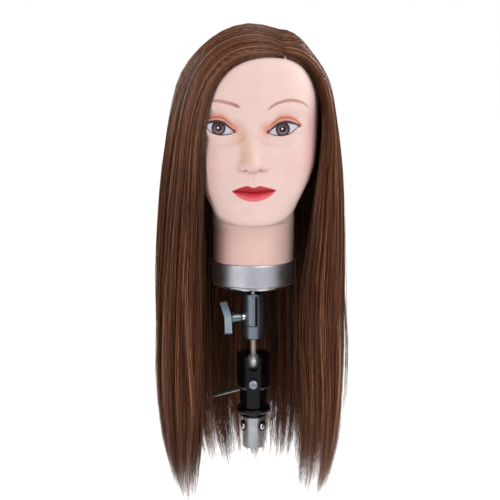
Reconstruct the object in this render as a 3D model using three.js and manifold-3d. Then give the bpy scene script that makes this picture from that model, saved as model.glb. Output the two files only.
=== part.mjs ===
// Hairdressing training head on a ball-joint holder, as an assembly of separate pieces.
// Millimetres, +Z up, the face looks towards -Y. The origin is the centre of the holder tube's open lower end.

import * as THREE from 'three';
import { mergeVertices } from 'three/addons/utils/BufferGeometryUtils.js';
import Module from 'manifold-3d';

const wasm = await Module();
wasm.setup();

// ---------------------------------------------------------------- driving dimensions

const GAP = 0.3; // running and resting gap between neighbouring pieces

const TUBE = { outer: 11.2, inner: 9.7, top: 34 };
const TUBE_SCREWS = {
  z: 24.5,
  count: 3,
  angle: -156,
  headRadius: 4,
  headHeight: 2.6,
  shankRadius: 2,
  tip: 4.6,
};
const HEX_RECESS = { radius: 1.3, depth: 1.3 };
const COLLAR = {
  plugBottom: 14,
  ringRadius: 12.7,
  flangeRadius: 18.2,
  flangeBottom: 39.6,
  top: 45,
  chamfer: 1.2,
};
const POST = { radius: 8.6, top: 63 };
const DRAINS = { angles: [-60, -120], inner: 10.6, outer: 14, halfWidth: 1.6, bottom: 35.6, top: 38 };
const HOUSING = {
  neckRadius: 14.6,
  bodyRadius: 17.8,
  stepBottom: 66,
  stepTop: 69.2,
  top: 104.5,
  bevel: 2,
  split: 0.5,
};
const MOUTH = { radius: 8.3, flareBottom: 99.5, flareRadius: 11.2 };
const BALL = { z: 93.4, radius: 9.6 };
const SEAT = { inner: BALL.radius + GAP, outer: 12.2, rimBelowCentre: 3.6 };
const NOTCH = { halfWidth: 5.5 };
const BOLT = { z: 74.5, shankRadius: 2.5, length: 49, headRadius: 4.9, headHeight: 2.4, domeRadius: 9.5 };
const CROSS_RECESS = { depth: 1.5, halfLength: 2.6, halfWidth: 0.6 };
const BOSS = { radius: 6.9, height: 1.4, depth: 4 };
const LEVER = {
  elbow: [-6, -14.1],
  tip: [-44.5, -25.7],
  armHalf: 4,
  rootHalf: 3.1,
  tipHalf: 1.5,
  thickness: 3.2,
  hubRadius: 7.5,
  slope: 16.7,
};
const LEVER_NUT = { hexRadius: 4.7, hexHeight: 5.6, shoulderRadius: 6, height: 8.4, lift: 1.6 };
const LEVER_WASHER = { radius: 6.4, thickness: 1 };
const ROD = { radius: 3, bottom: BALL.z + 3.4, top: 126 };
const BARREL = { outer: 10.6, bore: 8.2, bottom: 120.6, floor: 128, top: 169.6, chamfer: 1.3 };
const SLOT = { left: 1.7, right: 4.4, bottom: 134.7, top: 167.6, cut: 0.9 };
const CLAMP = { z: 144.6, swing: 200, shank: 2.9, shankStart: 1.6 };
const BUSH = { bore: 3.1, bodyRadius: 3.4, rimRadius: 4.4, rimHeight: 2.5 };
const PAD = { radius: 2.2, clearance: 0.35, thickness: 0.9 };
const HUB = { start: 14.2, end: 25.4, radius: 5.4, tenonRadius: 2.4, tenonLength: 4 };
const HANDLE = { length: 35, width: 9.2, thickness: 7, tilt: 30, bend: 8 };
const SPIGOT = { shank: 7.9, neck: 3.8, neckTop: 174, collar: 9.5, collarBottom: 176, bottom: 129.5 };
const STUD = { radius: 4.8, top: 206 };
const BASE = { bottom: 179.8, top: 183.1, radius: 42.3, rimTop: 190, rimOuter: 38.8, rimInner: 35.4 };
const BASE_SCREWS = {
  count: 3,
  angle: 0,
  circle: 27,
  headRadius: 3.9,
  headHeight: 2,
  shankRadius: 1.9,
  topGap: 0.8,
};
const SOCKET = { flange: 35, flangeTop: 187.4, outer: 15.5, inner: 9.2, top: 222 };
const SPIGOT_WASHER = { radius: 8.6, thickness: 1.6 };
const SPIGOT_NUT = { radius: 8.1, clearance: 2.2, height: 7.8 };
const BAND = { outer: 44, bottom: 183.4, top: 206.6, bevel: 0.5 };
const SKIN = { bottom: 183.5, wall: 3, neck: 42.6 };
const EYE = { radius: 12, halfWidth: 14.6, x: 30.6, shift: -2.3, y: -61.6, z: 345 };
const NOSE = { base: 302, full: 309, root: 350, halfWidth: 11, height: 19 };
const HAIR = { capBottom: 300, partX: 25, partGap: 0.15, clearance: 0.6 };
const CURTAINS = {
  left: { from: 130.6, to: 236, bottom: -53.5 },
  right: { from: -56, to: 49.4, bottom: -46 },
  back: { from: 50.6, to: 129.4, bottom: -40 },
};

const SEGMENTS = { fine: 24, medium: 20, coarse: 14, head: 32, lining: 20, hair: 9 };

// Horizontal sections of the head: height, half width, front, back.
const HEAD_SECTIONS = [
  [SKIN.bottom - 6, 42.6, -42.6, 42.6],
  [212, 42.6, -42.6, 42.6],
  [228, 42.8, -43, 46],
  [242, 42.8, -47, 53],
  [249, 42.5, -60, 57],
  [255, 42.5, -76, 60],
  [263, 47.5, -81, 65],
  [285, 58, -85, 77],
  [310, 64.5, -84, 87],
  [345, 67, -82.5, 92],
  [375, 67.5, -87, 92],
  [400, 63, -81, 86],
  [420, 52, -66, 72],
  [434, 34, -44, 50],
  [441, 15, -20, 26],
];
const SKULL_TOP = 443;

// Horizontal sections of the hair's outer surface: height, left, right, front, back.
const HAIR_SECTIONS = [
  [296, 96, 93, 70, 104],
  [240, 101, 96, 66, 106],
  [178, 104, 97, 63, 105],
  [90, 106, 98, 61, 101],
  [11, 103, 93, 60, 96],
  [-30, 86, 82, 56, 88],
  [-53.5, 72, 72, 52, 80],
];

// The same for its inner surface. It stays 56 mm or more from the holder, which tilts inside it.
const HAIR_LINING = [
  [300, 66, 66, 66, 90],
  [262, 74, 72, 62, 92],
  [235, 80, 76, 60, 92],
  [200, 86, 80, 58, 92],
  [170, 90, 84, 56, 92],
  [120, 94, 87, 54, 90],
  [11, 93, 84, 53, 85],
  [-53.5, 62, 62, 45, 70],
];

// ---------------------------------------------------------------- materials

function finish(colour, roughness, metalness = 0) {
  return new THREE.MeshStandardMaterial({ color: colour, roughness, metalness });
}

const MATERIALS = {
  skin: finish(0xf2cdbb, 0.45),
  foam: finish(0xd9cfa8, 0.9),
  eye: finish(0x8d8378, 0.1),
  hair: finish(0x4a2f20, 0.5),
  silver: finish(0xa9acb0, 0.4, 0.8),
  chrome: finish(0xd5d8da, 0.12, 1),
  steel: finish(0x9aa0a6, 0.3, 1),
  satin: finish(0x8d9298, 0.35, 0.9),
  blackMetal: finish(0x17181a, 0.35, 0.2),
  blackPlastic: finish(0x202124, 0.5),
  nylon: finish(0xe6e2d4, 0.5),
};

// ---------------------------------------------------------------- solids and booleans

// Turns a closed three.js geometry into a solid; triangles that collapse at a pole are dropped.
function toSolid(geometry) {
  const bare = geometry.clone();
  bare.deleteAttribute('normal');
  bare.deleteAttribute('uv');
  const merged = mergeVertices(bare, 1e-4);
  const index = merged.index.array;
  const triangles = [];
  for (let i = 0; i < index.length; i += 3) {
    const [a, b, c] = [index[i], index[i + 1], index[i + 2]];
    if (a !== b && b !== c && a !== c) triangles.push(a, b, c);
  }
  const vertProperties = new Float32Array(merged.attributes.position.array);
  const build = (order) =>
    new wasm.Manifold(new wasm.Mesh({ numProp: 3, vertProperties, triVerts: new Uint32Array(order) }));
  const solid = build(triangles);
  return solid.volume() > 0 ? solid : build(triangles.reverse());
}

function toGeometry(solid) {
  const { vertProperties, triVerts } = solid.getMesh();
  const geometry = new THREE.BufferGeometry();
  geometry.setAttribute('position', new THREE.BufferAttribute(vertProperties, 3));
  geometry.setIndex(new THREE.BufferAttribute(triVerts, 1));
  geometry.computeVertexNormals();
  return geometry;
}

const union = (...solids) => solids.reduce((whole, next) => whole.add(next));
const cut = (solid, ...tools) => tools.reduce((rest, tool) => rest.subtract(tool), solid);

function cylinder(radius, bottom, top, segments = SEGMENTS.medium) {
  const geometry = new THREE.CylinderGeometry(radius, radius, top - bottom, segments);
  geometry.rotateX(Math.PI / 2).translate(0, 0, (top + bottom) / 2);
  return toSolid(geometry);
}

// A cylinder lying along +X from start to end.
function shaft(radius, start, end, segments = SEGMENTS.medium) {
  const geometry = new THREE.CylinderGeometry(radius, radius, end - start, segments);
  geometry.rotateZ(Math.PI / 2).translate((start + end) / 2, 0, 0);
  return toSolid(geometry);
}

function box(x0, x1, y0, y1, z0, z1) {
  const geometry = new THREE.BoxGeometry(x1 - x0, y1 - y0, z1 - z0);
  return toSolid(geometry.translate((x0 + x1) / 2, (y0 + y1) / 2, (z0 + z1) / 2));
}

function ball(radius, x, y, z, segments = SEGMENTS.medium) {
  return toSolid(new THREE.SphereGeometry(radius, segments, Math.round(segments / 2)).translate(x, y, z));
}

// Revolves a profile of [radius, height] points about Z. A profile off the axis closes on itself.
function turned(profile, segments = SEGMENTS.medium) {
  const points = profile.map(([radius, height]) => new THREE.Vector2(radius, height));
  const onAxis = profile[0][0] === 0 && profile.at(-1)[0] === 0;
  if (!onAxis) points.push(points[0].clone());
  return toSolid(new THREE.LatheGeometry(points, segments).rotateX(Math.PI / 2));
}

// The rectangle section of a ring, for turned().
const ringProfile = (inner, outer, bottom, top) => [
  [inner, bottom],
  [outer, bottom],
  [outer, top],
  [inner, top],
];

function turnZ(solid, degrees) {
  return solid.rotate([0, 0, degrees]);
}

// ---------------------------------------------------------------- lofts

// Straight interpolation in a table whose first column is the height; the order of heights may rise or fall.
function sectionAt(table, height) {
  const rows = [...table].sort((a, b) => a[0] - b[0]);
  const upper = rows.findIndex((row) => row[0] >= height);
  if (upper <= 0) return upper === 0 ? rows[0] : rows.at(-1);
  const [low, high] = [rows[upper - 1], rows[upper]];
  const t = (height - low[0]) / (high[0] - low[0]);
  return low.map((value, i) => value + (high[i] - value) * t);
}

// How far the nose stands forward of the plain section.
function noseLift(x, height) {
  const { base, full, root } = NOSE;
  const rise = THREE.MathUtils.smoothstep(height, base, full);
  const fall = THREE.MathUtils.smoothstep(root - height, 0, root - full);
  return NOSE.height * rise * fall * Math.exp(-((x / NOSE.halfWidth) ** 2));
}

// The point of the head's surface at a height and an angle, moved inwards by inset.
function headPoint(height, angle, inset) {
  const [, halfWidth, front, back] = sectionAt(HEAD_SECTIONS, height);
  const x = (halfWidth - inset) * Math.cos(angle);
  const y = (front + back) / 2 + ((back - front) / 2 - inset) * Math.sin(angle);
  const lift = inset > 0 || Math.sin(angle) > 0 ? 0 : noseLift(x, height);
  return [x, y - lift, height];
}

// Closes a grid of rings, each with the same number of points, with a fan at both ends.
function loftSolid(rings) {
  const count = rings[0].length;
  const positions = rings.flat(2);
  const centre = (ring) => [0, 1, 2].map((axis) => ring.reduce((sum, p) => sum + p[axis], 0) / count);
  positions.push(...centre(rings[0]), ...centre(rings.at(-1)));
  const firstCentre = rings.length * count;
  const index = [];
  for (let i = 0; i < count; i += 1) {
    const j = (i + 1) % count;
    for (let row = 0; row < rings.length - 1; row += 1) {
      const [low, high] = [row * count, (row + 1) * count];
      index.push(low + i, low + j, high + j, low + i, high + j, high + i);
    }
    const last = (rings.length - 1) * count;
    index.push(firstCentre, j, i, firstCentre + 1, last + i, last + j);
  }
  const geometry = new THREE.BufferGeometry();
  geometry.setAttribute('position', new THREE.Float32BufferAttribute(positions, 3));
  geometry.setIndex(index);
  return toSolid(geometry);
}

// The head's outer form, or one moved inwards by inset, down to bottom. Only the outer form has a nose.
function headForm(inset, bottom, segments = SEGMENTS.head) {
  const nose = inset > 0 ? [] : [303, 309, 318, 330];
  const heights = [...HEAD_SECTIONS.map(([height]) => height), ...nose].filter((height) => height > bottom + 2);
  heights.push(bottom);
  heights.sort((a, b) => a - b);
  const shrink = (SKULL_TOP - inset - BASE.top) / (SKULL_TOP - BASE.top);
  const rings = heights.map((height) =>
    Array.from({ length: segments }, (_, i) => {
      const [x, y, z] = headPoint(height, (2 * Math.PI * i) / segments, inset);
      return [x, y, BASE.top + (z - BASE.top) * shrink];
    }),
  );
  return loftSolid(rings);
}

// ---------------------------------------------------------------- stand side of the holder

function standTube() {
  const wall = turned(ringProfile(TUBE.inner, TUBE.outer, 0, TUBE.top), SEGMENTS.fine);
  const holes = radialCopies(TUBE_SCREWS, shaft(TUBE_SCREWS.shankRadius + GAP, 0, TUBE.outer + 5, 12));
  return cut(wall, ...holes.map((hole) => hole.translate([0, 0, TUBE_SCREWS.z])));
}

// Copies of a solid evenly round Z, the first turned by angle from +X.
function radialCopies({ count, angle }, solid) {
  return Array.from({ length: count }, (_, i) => turnZ(solid, angle + (360 / count) * i));
}

// A pan-head screw along +X whose head rests on the tube's outer wall.
function tubeScrew() {
  const { headRadius, headHeight, shankRadius, tip } = TUBE_SCREWS;
  const start = TUBE.outer + GAP;
  const head = shaft(headRadius, start, start + headHeight, SEGMENTS.coarse);
  const recess = shaft(HEX_RECESS.radius, start + headHeight - HEX_RECESS.depth, start + headHeight + 1, 6);
  return cut(union(head, shaft(shankRadius, tip, start + 0.1, 12)), recess);
}

// Plug, drip ring, flange and the post that the two housing halves close on.
function baseCollar() {
  const { ringRadius, flangeRadius, flangeBottom, top, chamfer, plugBottom } = COLLAR;
  const plug = TUBE.inner - GAP;
  const body = turned(
    [
      [0, plugBottom],
      [plug, plugBottom],
      [plug, TUBE.top + GAP],
      [ringRadius, TUBE.top + GAP],
      [ringRadius, flangeBottom],
      [flangeRadius - chamfer, flangeBottom],
      [flangeRadius, flangeBottom + chamfer],
      [flangeRadius, top - chamfer],
      [flangeRadius - chamfer, top],
      [POST.radius, top],
      [POST.radius, POST.top],
      [0, POST.top],
    ],
    SEGMENTS.fine,
  );
  const holes = radialCopies(TUBE_SCREWS, shaft(TUBE_SCREWS.shankRadius + GAP, TUBE_SCREWS.tip - GAP, 16, 12));
  const { inner, outer, halfWidth, bottom } = DRAINS;
  const drain = box(inner, outer, -halfWidth, halfWidth, bottom, DRAINS.top);
  const drains = DRAINS.angles.map((angle) => turnZ(drain, angle));
  return cut(body, ...holes.map((hole) => hole.translate([0, 0, TUBE_SCREWS.z])), ...drains);
}

// The whole ball housing before it is split: necked cup with a mouth, a front notch and the bolt's bosses.
function housingWhole() {
  const { neckRadius, bodyRadius, stepBottom, stepTop, top, bevel } = HOUSING;
  const outside = turned(
    [
      [0, COLLAR.top + GAP],
      [neckRadius, COLLAR.top + GAP],
      [neckRadius, stepBottom],
      [bodyRadius, stepTop],
      [bodyRadius, top - bevel],
      [bodyRadius - bevel, top],
      [0, top],
    ],
    SEGMENTS.fine,
  );
  const boss = cylinder(BOSS.radius, 0, BOSS.depth, SEGMENTS.coarse);
  const start = bodyRadius + BOSS.height - BOSS.depth;
  const frontBoss = boss.rotate([90, 0, 0]).translate([0, -start, BOLT.z]);
  const rearBoss = boss.rotate([-90, 0, 0]).translate([0, start, BOLT.z]);
  return union(outside, frontBoss, rearBoss);
}

function housingTools() {
  const seatRoom = ball(SEAT.outer + GAP, 0, 0, BALL.z, SEGMENTS.fine);
  const mouth = turned(
    [
      [0, BALL.z],
      [MOUTH.radius, BALL.z],
      [MOUTH.radius, MOUTH.flareBottom],
      [MOUTH.flareRadius, HOUSING.top + 1],
      [0, HOUSING.top + 1],
    ],
    SEGMENTS.medium,
  );
  const notchRound = cylinder(NOTCH.halfWidth, 0, 30).rotate([90, 0, 0]).translate([0, 0, BALL.z]);
  const notch = box(-NOTCH.halfWidth, NOTCH.halfWidth, -30, 0, BALL.z, HOUSING.top + 2);
  const boltHole = cylinder(BOLT.shankRadius + GAP, -30, 30, 16).rotate([90, 0, 0]).translate([0, 0, BOLT.z]);
  const postRoom = cylinder(POST.radius + GAP, COLLAR.top - 1, POST.top + GAP);
  return [seatRoom, mouth, notchRound, notch, boltHole, postRoom];
}

function housingHalf(side) {
  const whole = cut(housingWhole(), ...housingTools());
  const far = 40;
  const [near, back] = side < 0 ? [-far, -HOUSING.split] : [HOUSING.split, far];
  const keep = box(-far, far, near, back, 0, 200);
  return whole.intersect(keep);
}

// A nylon cup under the ball; its rim stays below the rod when the rod lies in the notch.
function ballSeat() {
  return cut(
    ball(SEAT.outer, 0, 0, BALL.z, SEGMENTS.medium),
    ball(SEAT.inner, 0, 0, BALL.z, SEGMENTS.medium),
    box(-20, 20, -20, 20, BALL.z - SEAT.rimBelowCentre, BALL.z + 20),
  );
}

// Bolt along +Y through both halves; its head is at the front.
function clampBolt() {
  const front = -HOUSING.bodyRadius - BOSS.height - GAP;
  const head = shaft(BOLT.headRadius, -BOLT.headHeight, 0, SEGMENTS.coarse);
  const domed = head.intersect(ball(BOLT.domeRadius, BOLT.domeRadius - BOLT.headHeight, 0, 0, SEGMENTS.fine));
  const { depth, halfLength, halfWidth } = CROSS_RECESS;
  const [outside, floor] = [-BOLT.headHeight - 1, -BOLT.headHeight + depth];
  const cross = union(
    box(outside, floor, -halfLength, halfLength, -halfWidth, halfWidth),
    box(outside, floor, -halfWidth, halfWidth, -halfLength, halfLength),
  );
  const bolt = cut(union(domed, shaft(BOLT.shankRadius, -0.1, BOLT.length, 16)), cross);
  return turnZ(bolt, 90).translate([0, front, BOLT.z]);
}

const REAR_FACE = HOUSING.bodyRadius + BOSS.height + GAP;

// A flat bar between two (x, z) points, from y = 0 to the lever's thickness, with a round far end.
function leverBar(from, to, startHalf, endHalf) {
  const [dx, dz] = [to[0] - from[0], to[1] - from[1]];
  const length = Math.hypot(dx, dz);
  const [acrossX, acrossZ] = [-dz / length, dx / length];
  const shape = new THREE.Shape();
  shape.moveTo(from[0] + acrossX * startHalf, from[1] + acrossZ * startHalf);
  shape.lineTo(to[0] + acrossX * endHalf, to[1] + acrossZ * endHalf);
  shape.lineTo(to[0] - acrossX * endHalf, to[1] - acrossZ * endHalf);
  shape.lineTo(from[0] - acrossX * startHalf, from[1] - acrossZ * startHalf);
  const geometry = new THREE.ExtrudeGeometry(shape, { depth: LEVER.thickness, bevelEnabled: false });
  const bar = toSolid(geometry.rotateX(Math.PI / 2)).translate([0, LEVER.thickness, 0]);
  const end = cylinder(endHalf, 0, LEVER.thickness, 16).rotate([-90, 0, 0]).translate([to[0], 0, to[1]]);
  return union(bar, end);
}

// A flat cranked lever behind the housing: an arm from the nut's hub down to an elbow, and a tapered
// blade that points to the left and down.
function lockLever() {
  const arm = leverBar([0, 0], LEVER.elbow, LEVER.armHalf, LEVER.rootHalf);
  const blade = leverBar(LEVER.elbow, LEVER.tip, LEVER.rootHalf, LEVER.tipHalf);
  const hub = turned(ringProfile(0, LEVER.hubRadius, 0, LEVER.thickness + 1)).rotate([-90, 0, 0]);
  const bore = cylinder(LEVER_NUT.hexRadius + 0.4, -10, 10, 6).rotate([90, 0, 0]);
  return cut(union(arm, blade, hub), bore.rotate([0, -LEVER.slope, 0]))
    .translate([0, REAR_FACE + LEVER_NUT.lift, BOLT.z]);
}

// The nut that the lever turns: a hexagon inside the lever's hub, with a round shoulder outside it.
function leverNut() {
  const { hexRadius, hexHeight, shoulderRadius, height } = LEVER_NUT;
  const hexagon = cylinder(hexRadius, 0, hexHeight, 6);
  const shoulder = cylinder(shoulderRadius, hexHeight - 0.1, height, SEGMENTS.coarse);
  return cut(union(hexagon, shoulder), cylinder(BOLT.shankRadius + GAP, -1, height + 1, 16))
    .rotate([-90, 0, 0])
    .rotate([0, -LEVER.slope, 0])
    .translate([0, REAR_FACE + LEVER_NUT.lift, BOLT.z]);
}

function leverWasher() {
  const { radius, thickness } = LEVER_WASHER;
  return turned(ringProfile(BOLT.shankRadius + GAP, radius, 0, thickness), SEGMENTS.coarse)
    .rotate([-90, 0, 0])
    .translate([0, REAR_FACE, BOLT.z]);
}

// ---------------------------------------------------------------- ball, rod and receiver

function tiltBall() {
  const rodHole = cylinder(ROD.radius + GAP, ROD.bottom - GAP, ROD.top);
  return cut(ball(BALL.radius, 0, 0, BALL.z, SEGMENTS.medium), rodHole);
}

function tiltRod() {
  return cylinder(ROD.radius, ROD.bottom, ROD.top);
}

// Barrel with a blind bore from the top, an L-shaped slot and a hole for the clamp's bush.
function receiverBarrel() {
  const { outer, bore, bottom, floor, top, chamfer } = BARREL;
  const body = turned(
    [
      [0, bottom],
      [outer - chamfer, bottom],
      [outer, bottom + chamfer],
      [outer, top - 0.6],
      [outer - 0.6, top],
      [0, top],
    ],
    SEGMENTS.fine,
  );
  const upright = box(SLOT.left, SLOT.right, -20, -4, SLOT.bottom, SLOT.top);
  const across = box(-20, SLOT.left + 0.1, -20, 0, SLOT.bottom, SLOT.bottom + SLOT.cut);
  const bushHole = turnZ(shaft(BUSH.bodyRadius + GAP, 0, 20, 20), CLAMP.swing).translate([0, 0, CLAMP.z]);
  const tools = [cylinder(bore, floor, top + 2), cylinder(ROD.radius + GAP, bottom - 1, ROD.top + GAP, 20)];
  return cut(body, ...tools, upright, across, bushHole);
}

// Threaded bush pressed into the barrel's wall: a body in the hole and a rim outside it. Along +X.
function clampBush() {
  const rimStart = BARREL.outer + GAP;
  const inWall = shaft(BUSH.bodyRadius, BARREL.bore + 0.5, rimStart + 0.1, SEGMENTS.coarse);
  const rim = shaft(BUSH.rimRadius, rimStart, rimStart + BUSH.rimHeight, SEGMENTS.coarse);
  return cut(union(inWall, rim), shaft(BUSH.bore, 0, 30, SEGMENTS.coarse));
}

// Small pressure pad between the screw's tip and the spigot. Along +X.
function clampPad() {
  const start = SPIGOT.shank + PAD.clearance;
  return shaft(PAD.radius, start, start + PAD.thickness, 16);
}

// Hub and threaded shank of the clamping screw. Along +X.
function clampScrew() {
  const shank = shaft(CLAMP.shank, SPIGOT.shank + CLAMP.shankStart, HUB.start + 0.1, SEGMENTS.coarse);
  const hub = shaft(HUB.radius, HUB.start, HUB.end, SEGMENTS.medium);
  const tenon = shaft(HUB.tenonRadius, HUB.end - 0.1, HUB.end + HUB.tenonLength, 12);
  return union(shank, hub, tenon);
}

// The T handle: two flat arms that meet at a shallow bend over the hub. Its long side stands across the screw.
function clampHandle() {
  const { length, width, thickness, tilt, bend } = HANDLE;
  const half = length / 2;
  const arm = (side) =>
    box(-width / 2, width / 2, -thickness / 2, thickness / 2, -1, half)
      .rotate([0, bend, 0])
      .rotate([side > 0 ? 0 : 180, 0, 0]);
  const middle = HUB.end + GAP + width / 2 - 1;
  return cut(
    union(arm(1), arm(-1)).rotate([tilt, 0, 0]).translate([middle, 0, 0]),
    shaft(HUB.tenonRadius + GAP, 0, HUB.end + HUB.tenonLength + GAP, 12),
    shaft(HUB.radius + 6, 0, HUB.end + GAP, 12),
  );
}

// ---------------------------------------------------------------- base of the head

function spigot() {
  const { shank, neck, neckTop, collar, collarBottom, bottom } = SPIGOT;
  return turned([
    [0, bottom],
    [shank - 1, bottom],
    [shank, bottom + 1.5],
    [shank, BARREL.top - 0.4],
    [neck, BARREL.top + 0.6],
    [neck, neckTop],
    [collar, collarBottom],
    [collar, BASE.bottom - GAP],
    [STUD.radius, BASE.bottom - GAP],
    [STUD.radius, STUD.top],
    [0, STUD.top],
  ]);
}

function basePlate() {
  const { bottom, top, radius, rimTop, rimOuter, rimInner } = BASE;
  const plate = turned(
    [
      [STUD.radius + GAP, bottom],
      [radius - 1, bottom],
      [radius, bottom + 1],
      [radius, top - 0.8],
      [radius - 0.8, top],
      [rimOuter, top],
      [rimOuter, rimTop],
      [rimInner, rimTop],
      [rimInner, top],
      [STUD.radius + GAP, top],
    ],
    SEGMENTS.fine,
  );
  const hole = cylinder(BASE_SCREWS.shankRadius + GAP, 170, 195, 12).translate([BASE_SCREWS.circle, 0, 0]);
  return cut(plate, ...radialCopies(BASE_SCREWS, hole));
}

function baseScrew() {
  const { headRadius, headHeight, shankRadius, topGap } = BASE_SCREWS;
  const top = BASE.bottom - GAP;
  const head = cylinder(headRadius, top - headHeight, top, 16);
  const recess = cylinder(HEX_RECESS.radius, top - headHeight - 1, top - headHeight + HEX_RECESS.depth, 6);
  return cut(union(head, cylinder(shankRadius, top - 0.1, SOCKET.flangeTop - topGap, 12)), recess);
}

function neckSocket() {
  const { flange, flangeTop, outer, inner, top } = SOCKET;
  const body = turned([
    [inner, BASE.top + GAP],
    [flange, BASE.top + GAP],
    [flange, flangeTop],
    [outer, flangeTop],
    [outer, top],
    [inner, top],
  ]);
  const hole = cylinder(BASE_SCREWS.shankRadius + GAP, 170, 195, 12).translate([BASE_SCREWS.circle, 0, 0]);
  return cut(body, ...radialCopies(BASE_SCREWS, hole));
}

function spigotWasher() {
  const bottom = BASE.top + GAP;
  const { radius, thickness } = SPIGOT_WASHER;
  return turned(ringProfile(STUD.radius + GAP, radius, bottom, bottom + thickness), SEGMENTS.fine);
}

function spigotNut() {
  const bottom = BASE.top + SPIGOT_NUT.clearance;
  const hexagon = cylinder(SPIGOT_NUT.radius, bottom, bottom + SPIGOT_NUT.height, 6);
  return cut(hexagon, cylinder(STUD.radius + GAP, 180, 200));
}

// Silver band round the neck, with rolled edges.
function neckBand() {
  const inner = SKIN.neck + GAP;
  return turned(
    [
      [inner, BAND.bottom],
      [BAND.outer - BAND.bevel, BAND.bottom],
      [BAND.outer, BAND.bottom + BAND.bevel],
      [BAND.outer, BAND.top - BAND.bevel],
      [BAND.outer - BAND.bevel, BAND.top],
      [inner, BAND.top],
    ],
    SEGMENTS.head,
  );
}

// ---------------------------------------------------------------- head

// An oval eye insert, wider than it is tall; grow makes it larger all round.
function eye(side, grow = 0) {
  const radius = EYE.radius + grow;
  const wide = (EYE.halfWidth + grow) / radius;
  return ball(radius, 0, 0, 0, SEGMENTS.coarse)
    .scale([wide, 1, 1])
    .translate([side * EYE.x + EYE.shift, EYE.y, EYE.z]);
}

const eyeRooms = () => [-1, 1].map((side) => eye(side, GAP + 0.2));

function headSkin() {
  const outside = headForm(0, SKIN.bottom);
  const inside = headForm(SKIN.wall, SKIN.bottom - 4, SEGMENTS.lining);
  return cut(outside, inside, ...eyeRooms());
}

function foamCore() {
  const form = headForm(SKIN.wall + 0.8, SKIN.bottom + 4, SEGMENTS.lining);
  const floor = box(-80, 80, -120, 120, 100, BASE.rimTop + GAP);
  const socketRoom = cylinder(SOCKET.outer + GAP, 150, SOCKET.top + GAP);
  return cut(form, floor, socketRoom, ...eyeRooms());
}

// ---------------------------------------------------------------- hair

// The hair over the skull: a shell outside the skin, without the face, cut off flat at its lower edge.
function hairShell() {
  const heights = [HAIR.capBottom, 320, 345, 370, 392, 410, 425, 436, 443, 447];
  const reach = [
    [HAIR.capBottom, 95, 92.5, -72, 103],
    [320, 92, 90.5, -76, 104],
    [345, 88.5, 87, -80, 103.5],
    [370, 83, 83, -86, 101],
    [392, 74.5, 75, -88, 94],
    [410, 64, 65, -82, 85],
    [425, 52, 51, -70, 73],
    [436, 38, 37, -52, 56],
    [443, 22, 24, -32, 36],
    [447, 8, 10, -12, 16],
  ];
  const rings = heights.map((height) => {
    const [, left, right, front, back] = sectionAt(reach, height);
    return Array.from({ length: SEGMENTS.head }, (_, i) => {
      const angle = (2 * Math.PI * i) / SEGMENTS.head;
      const across = Math.cos(angle) < 0 ? left : right;
      const along = Math.sin(angle) < 0 ? -front : back;
      return [across * Math.cos(angle), along * Math.sin(angle), height];
    });
  });
  return loftSolid(rings);
}

// The outline of the face opening, from the left jaw over the forehead to the right jaw, cut straight back.
function faceOpening() {
  const shape = new THREE.Shape();
  shape.moveTo(-47, HAIR.capBottom - 20);
  shape.lineTo(-47, 318);
  shape.bezierCurveTo(-46, 350, -45, 372, -38, 387);
  shape.bezierCurveTo(-30, 402, -14, 410, 10, 410.5);
  shape.bezierCurveTo(40, 411, 58, 392, 62, 372);
  shape.bezierCurveTo(65, 350, 63, 320, 58, HAIR.capBottom - 20);
  shape.closePath();
  const geometry = new THREE.ExtrudeGeometry(shape, { depth: 130, bevelEnabled: false, curveSegments: 8 });
  return toSolid(geometry.rotateX(Math.PI / 2)).translate([0, -10, 0]);
}

function hairCap(side) {
  const skinRoom = headForm(-HAIR.clearance, SKIN.bottom + 4);
  const far = 140;
  const split = HAIR.partX;
  const [near, end] = side < 0 ? [-far, split - HAIR.partGap] : [split + HAIR.partGap, far];
  const keep = box(near, end, -far, far, 0, 600);
  return cut(hairShell(), skinRoom, faceOpening(), ...eyeRooms()).intersect(keep);
}

// A hanging curtain of hair between two angles, from the cap's lower edge down, as one closed wall.
function hairCurtain({ from, to, bottom }) {
  const columns = SEGMENTS.hair;
  const heights = [HAIR.capBottom - GAP, 270, 235, 200, 170, 120, 60, 11, -30, bottom];
  const steps = Array.from({ length: columns + 1 }, (_, i) => i / columns);
  const rings = heights.map((height) => {
    const face = (table) => (t) => {
      const [, left, right, front, back] = sectionAt(table, height);
      const angle = THREE.MathUtils.degToRad(from + (to - from) * t);
      const across = Math.cos(angle) < 0 ? left : right;
      const along = Math.sin(angle) < 0 ? front : back;
      return [across * Math.cos(angle), along * Math.sin(angle), height];
    };
    return [...steps.map(face(HAIR_SECTIONS)), ...steps.toReversed().map(face(HAIR_LINING))];
  });
  return cut(wallSolid(rings, columns + 1), headForm(-HAIR.clearance, SKIN.bottom + 4));
}

// Closes a stack of wall sections whose points run out along the face and back along the other.
function wallSolid(rings, faceCount) {
  const count = rings[0].length;
  const index = [];
  for (let row = 0; row < rings.length - 1; row += 1) {
    for (let i = 0; i < count; i += 1) {
      const j = (i + 1) % count;
      const [low, high] = [row * count, (row + 1) * count];
      index.push(low + i, low + j, high + j, low + i, high + j, high + i);
    }
  }
  const last = (rings.length - 1) * count;
  for (let i = 0; i < faceCount - 1; i += 1) {
    const [a, b, c, d] = [i, i + 1, count - 2 - i, count - 1 - i];
    index.push(a, c, b, a, d, c);
    index.push(last + a, last + b, last + c, last + a, last + c, last + d);
  }
  const geometry = new THREE.BufferGeometry();
  geometry.setAttribute('position', new THREE.Float32BufferAttribute(rings.flat(2), 3));
  geometry.setIndex(index);
  return toSolid(geometry);
}

// ---------------------------------------------------------------- assembly

function mesh(name, solid, material) {
  const part = new THREE.Mesh(toGeometry(solid), material);
  part.name = name;
  return part;
}

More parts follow.
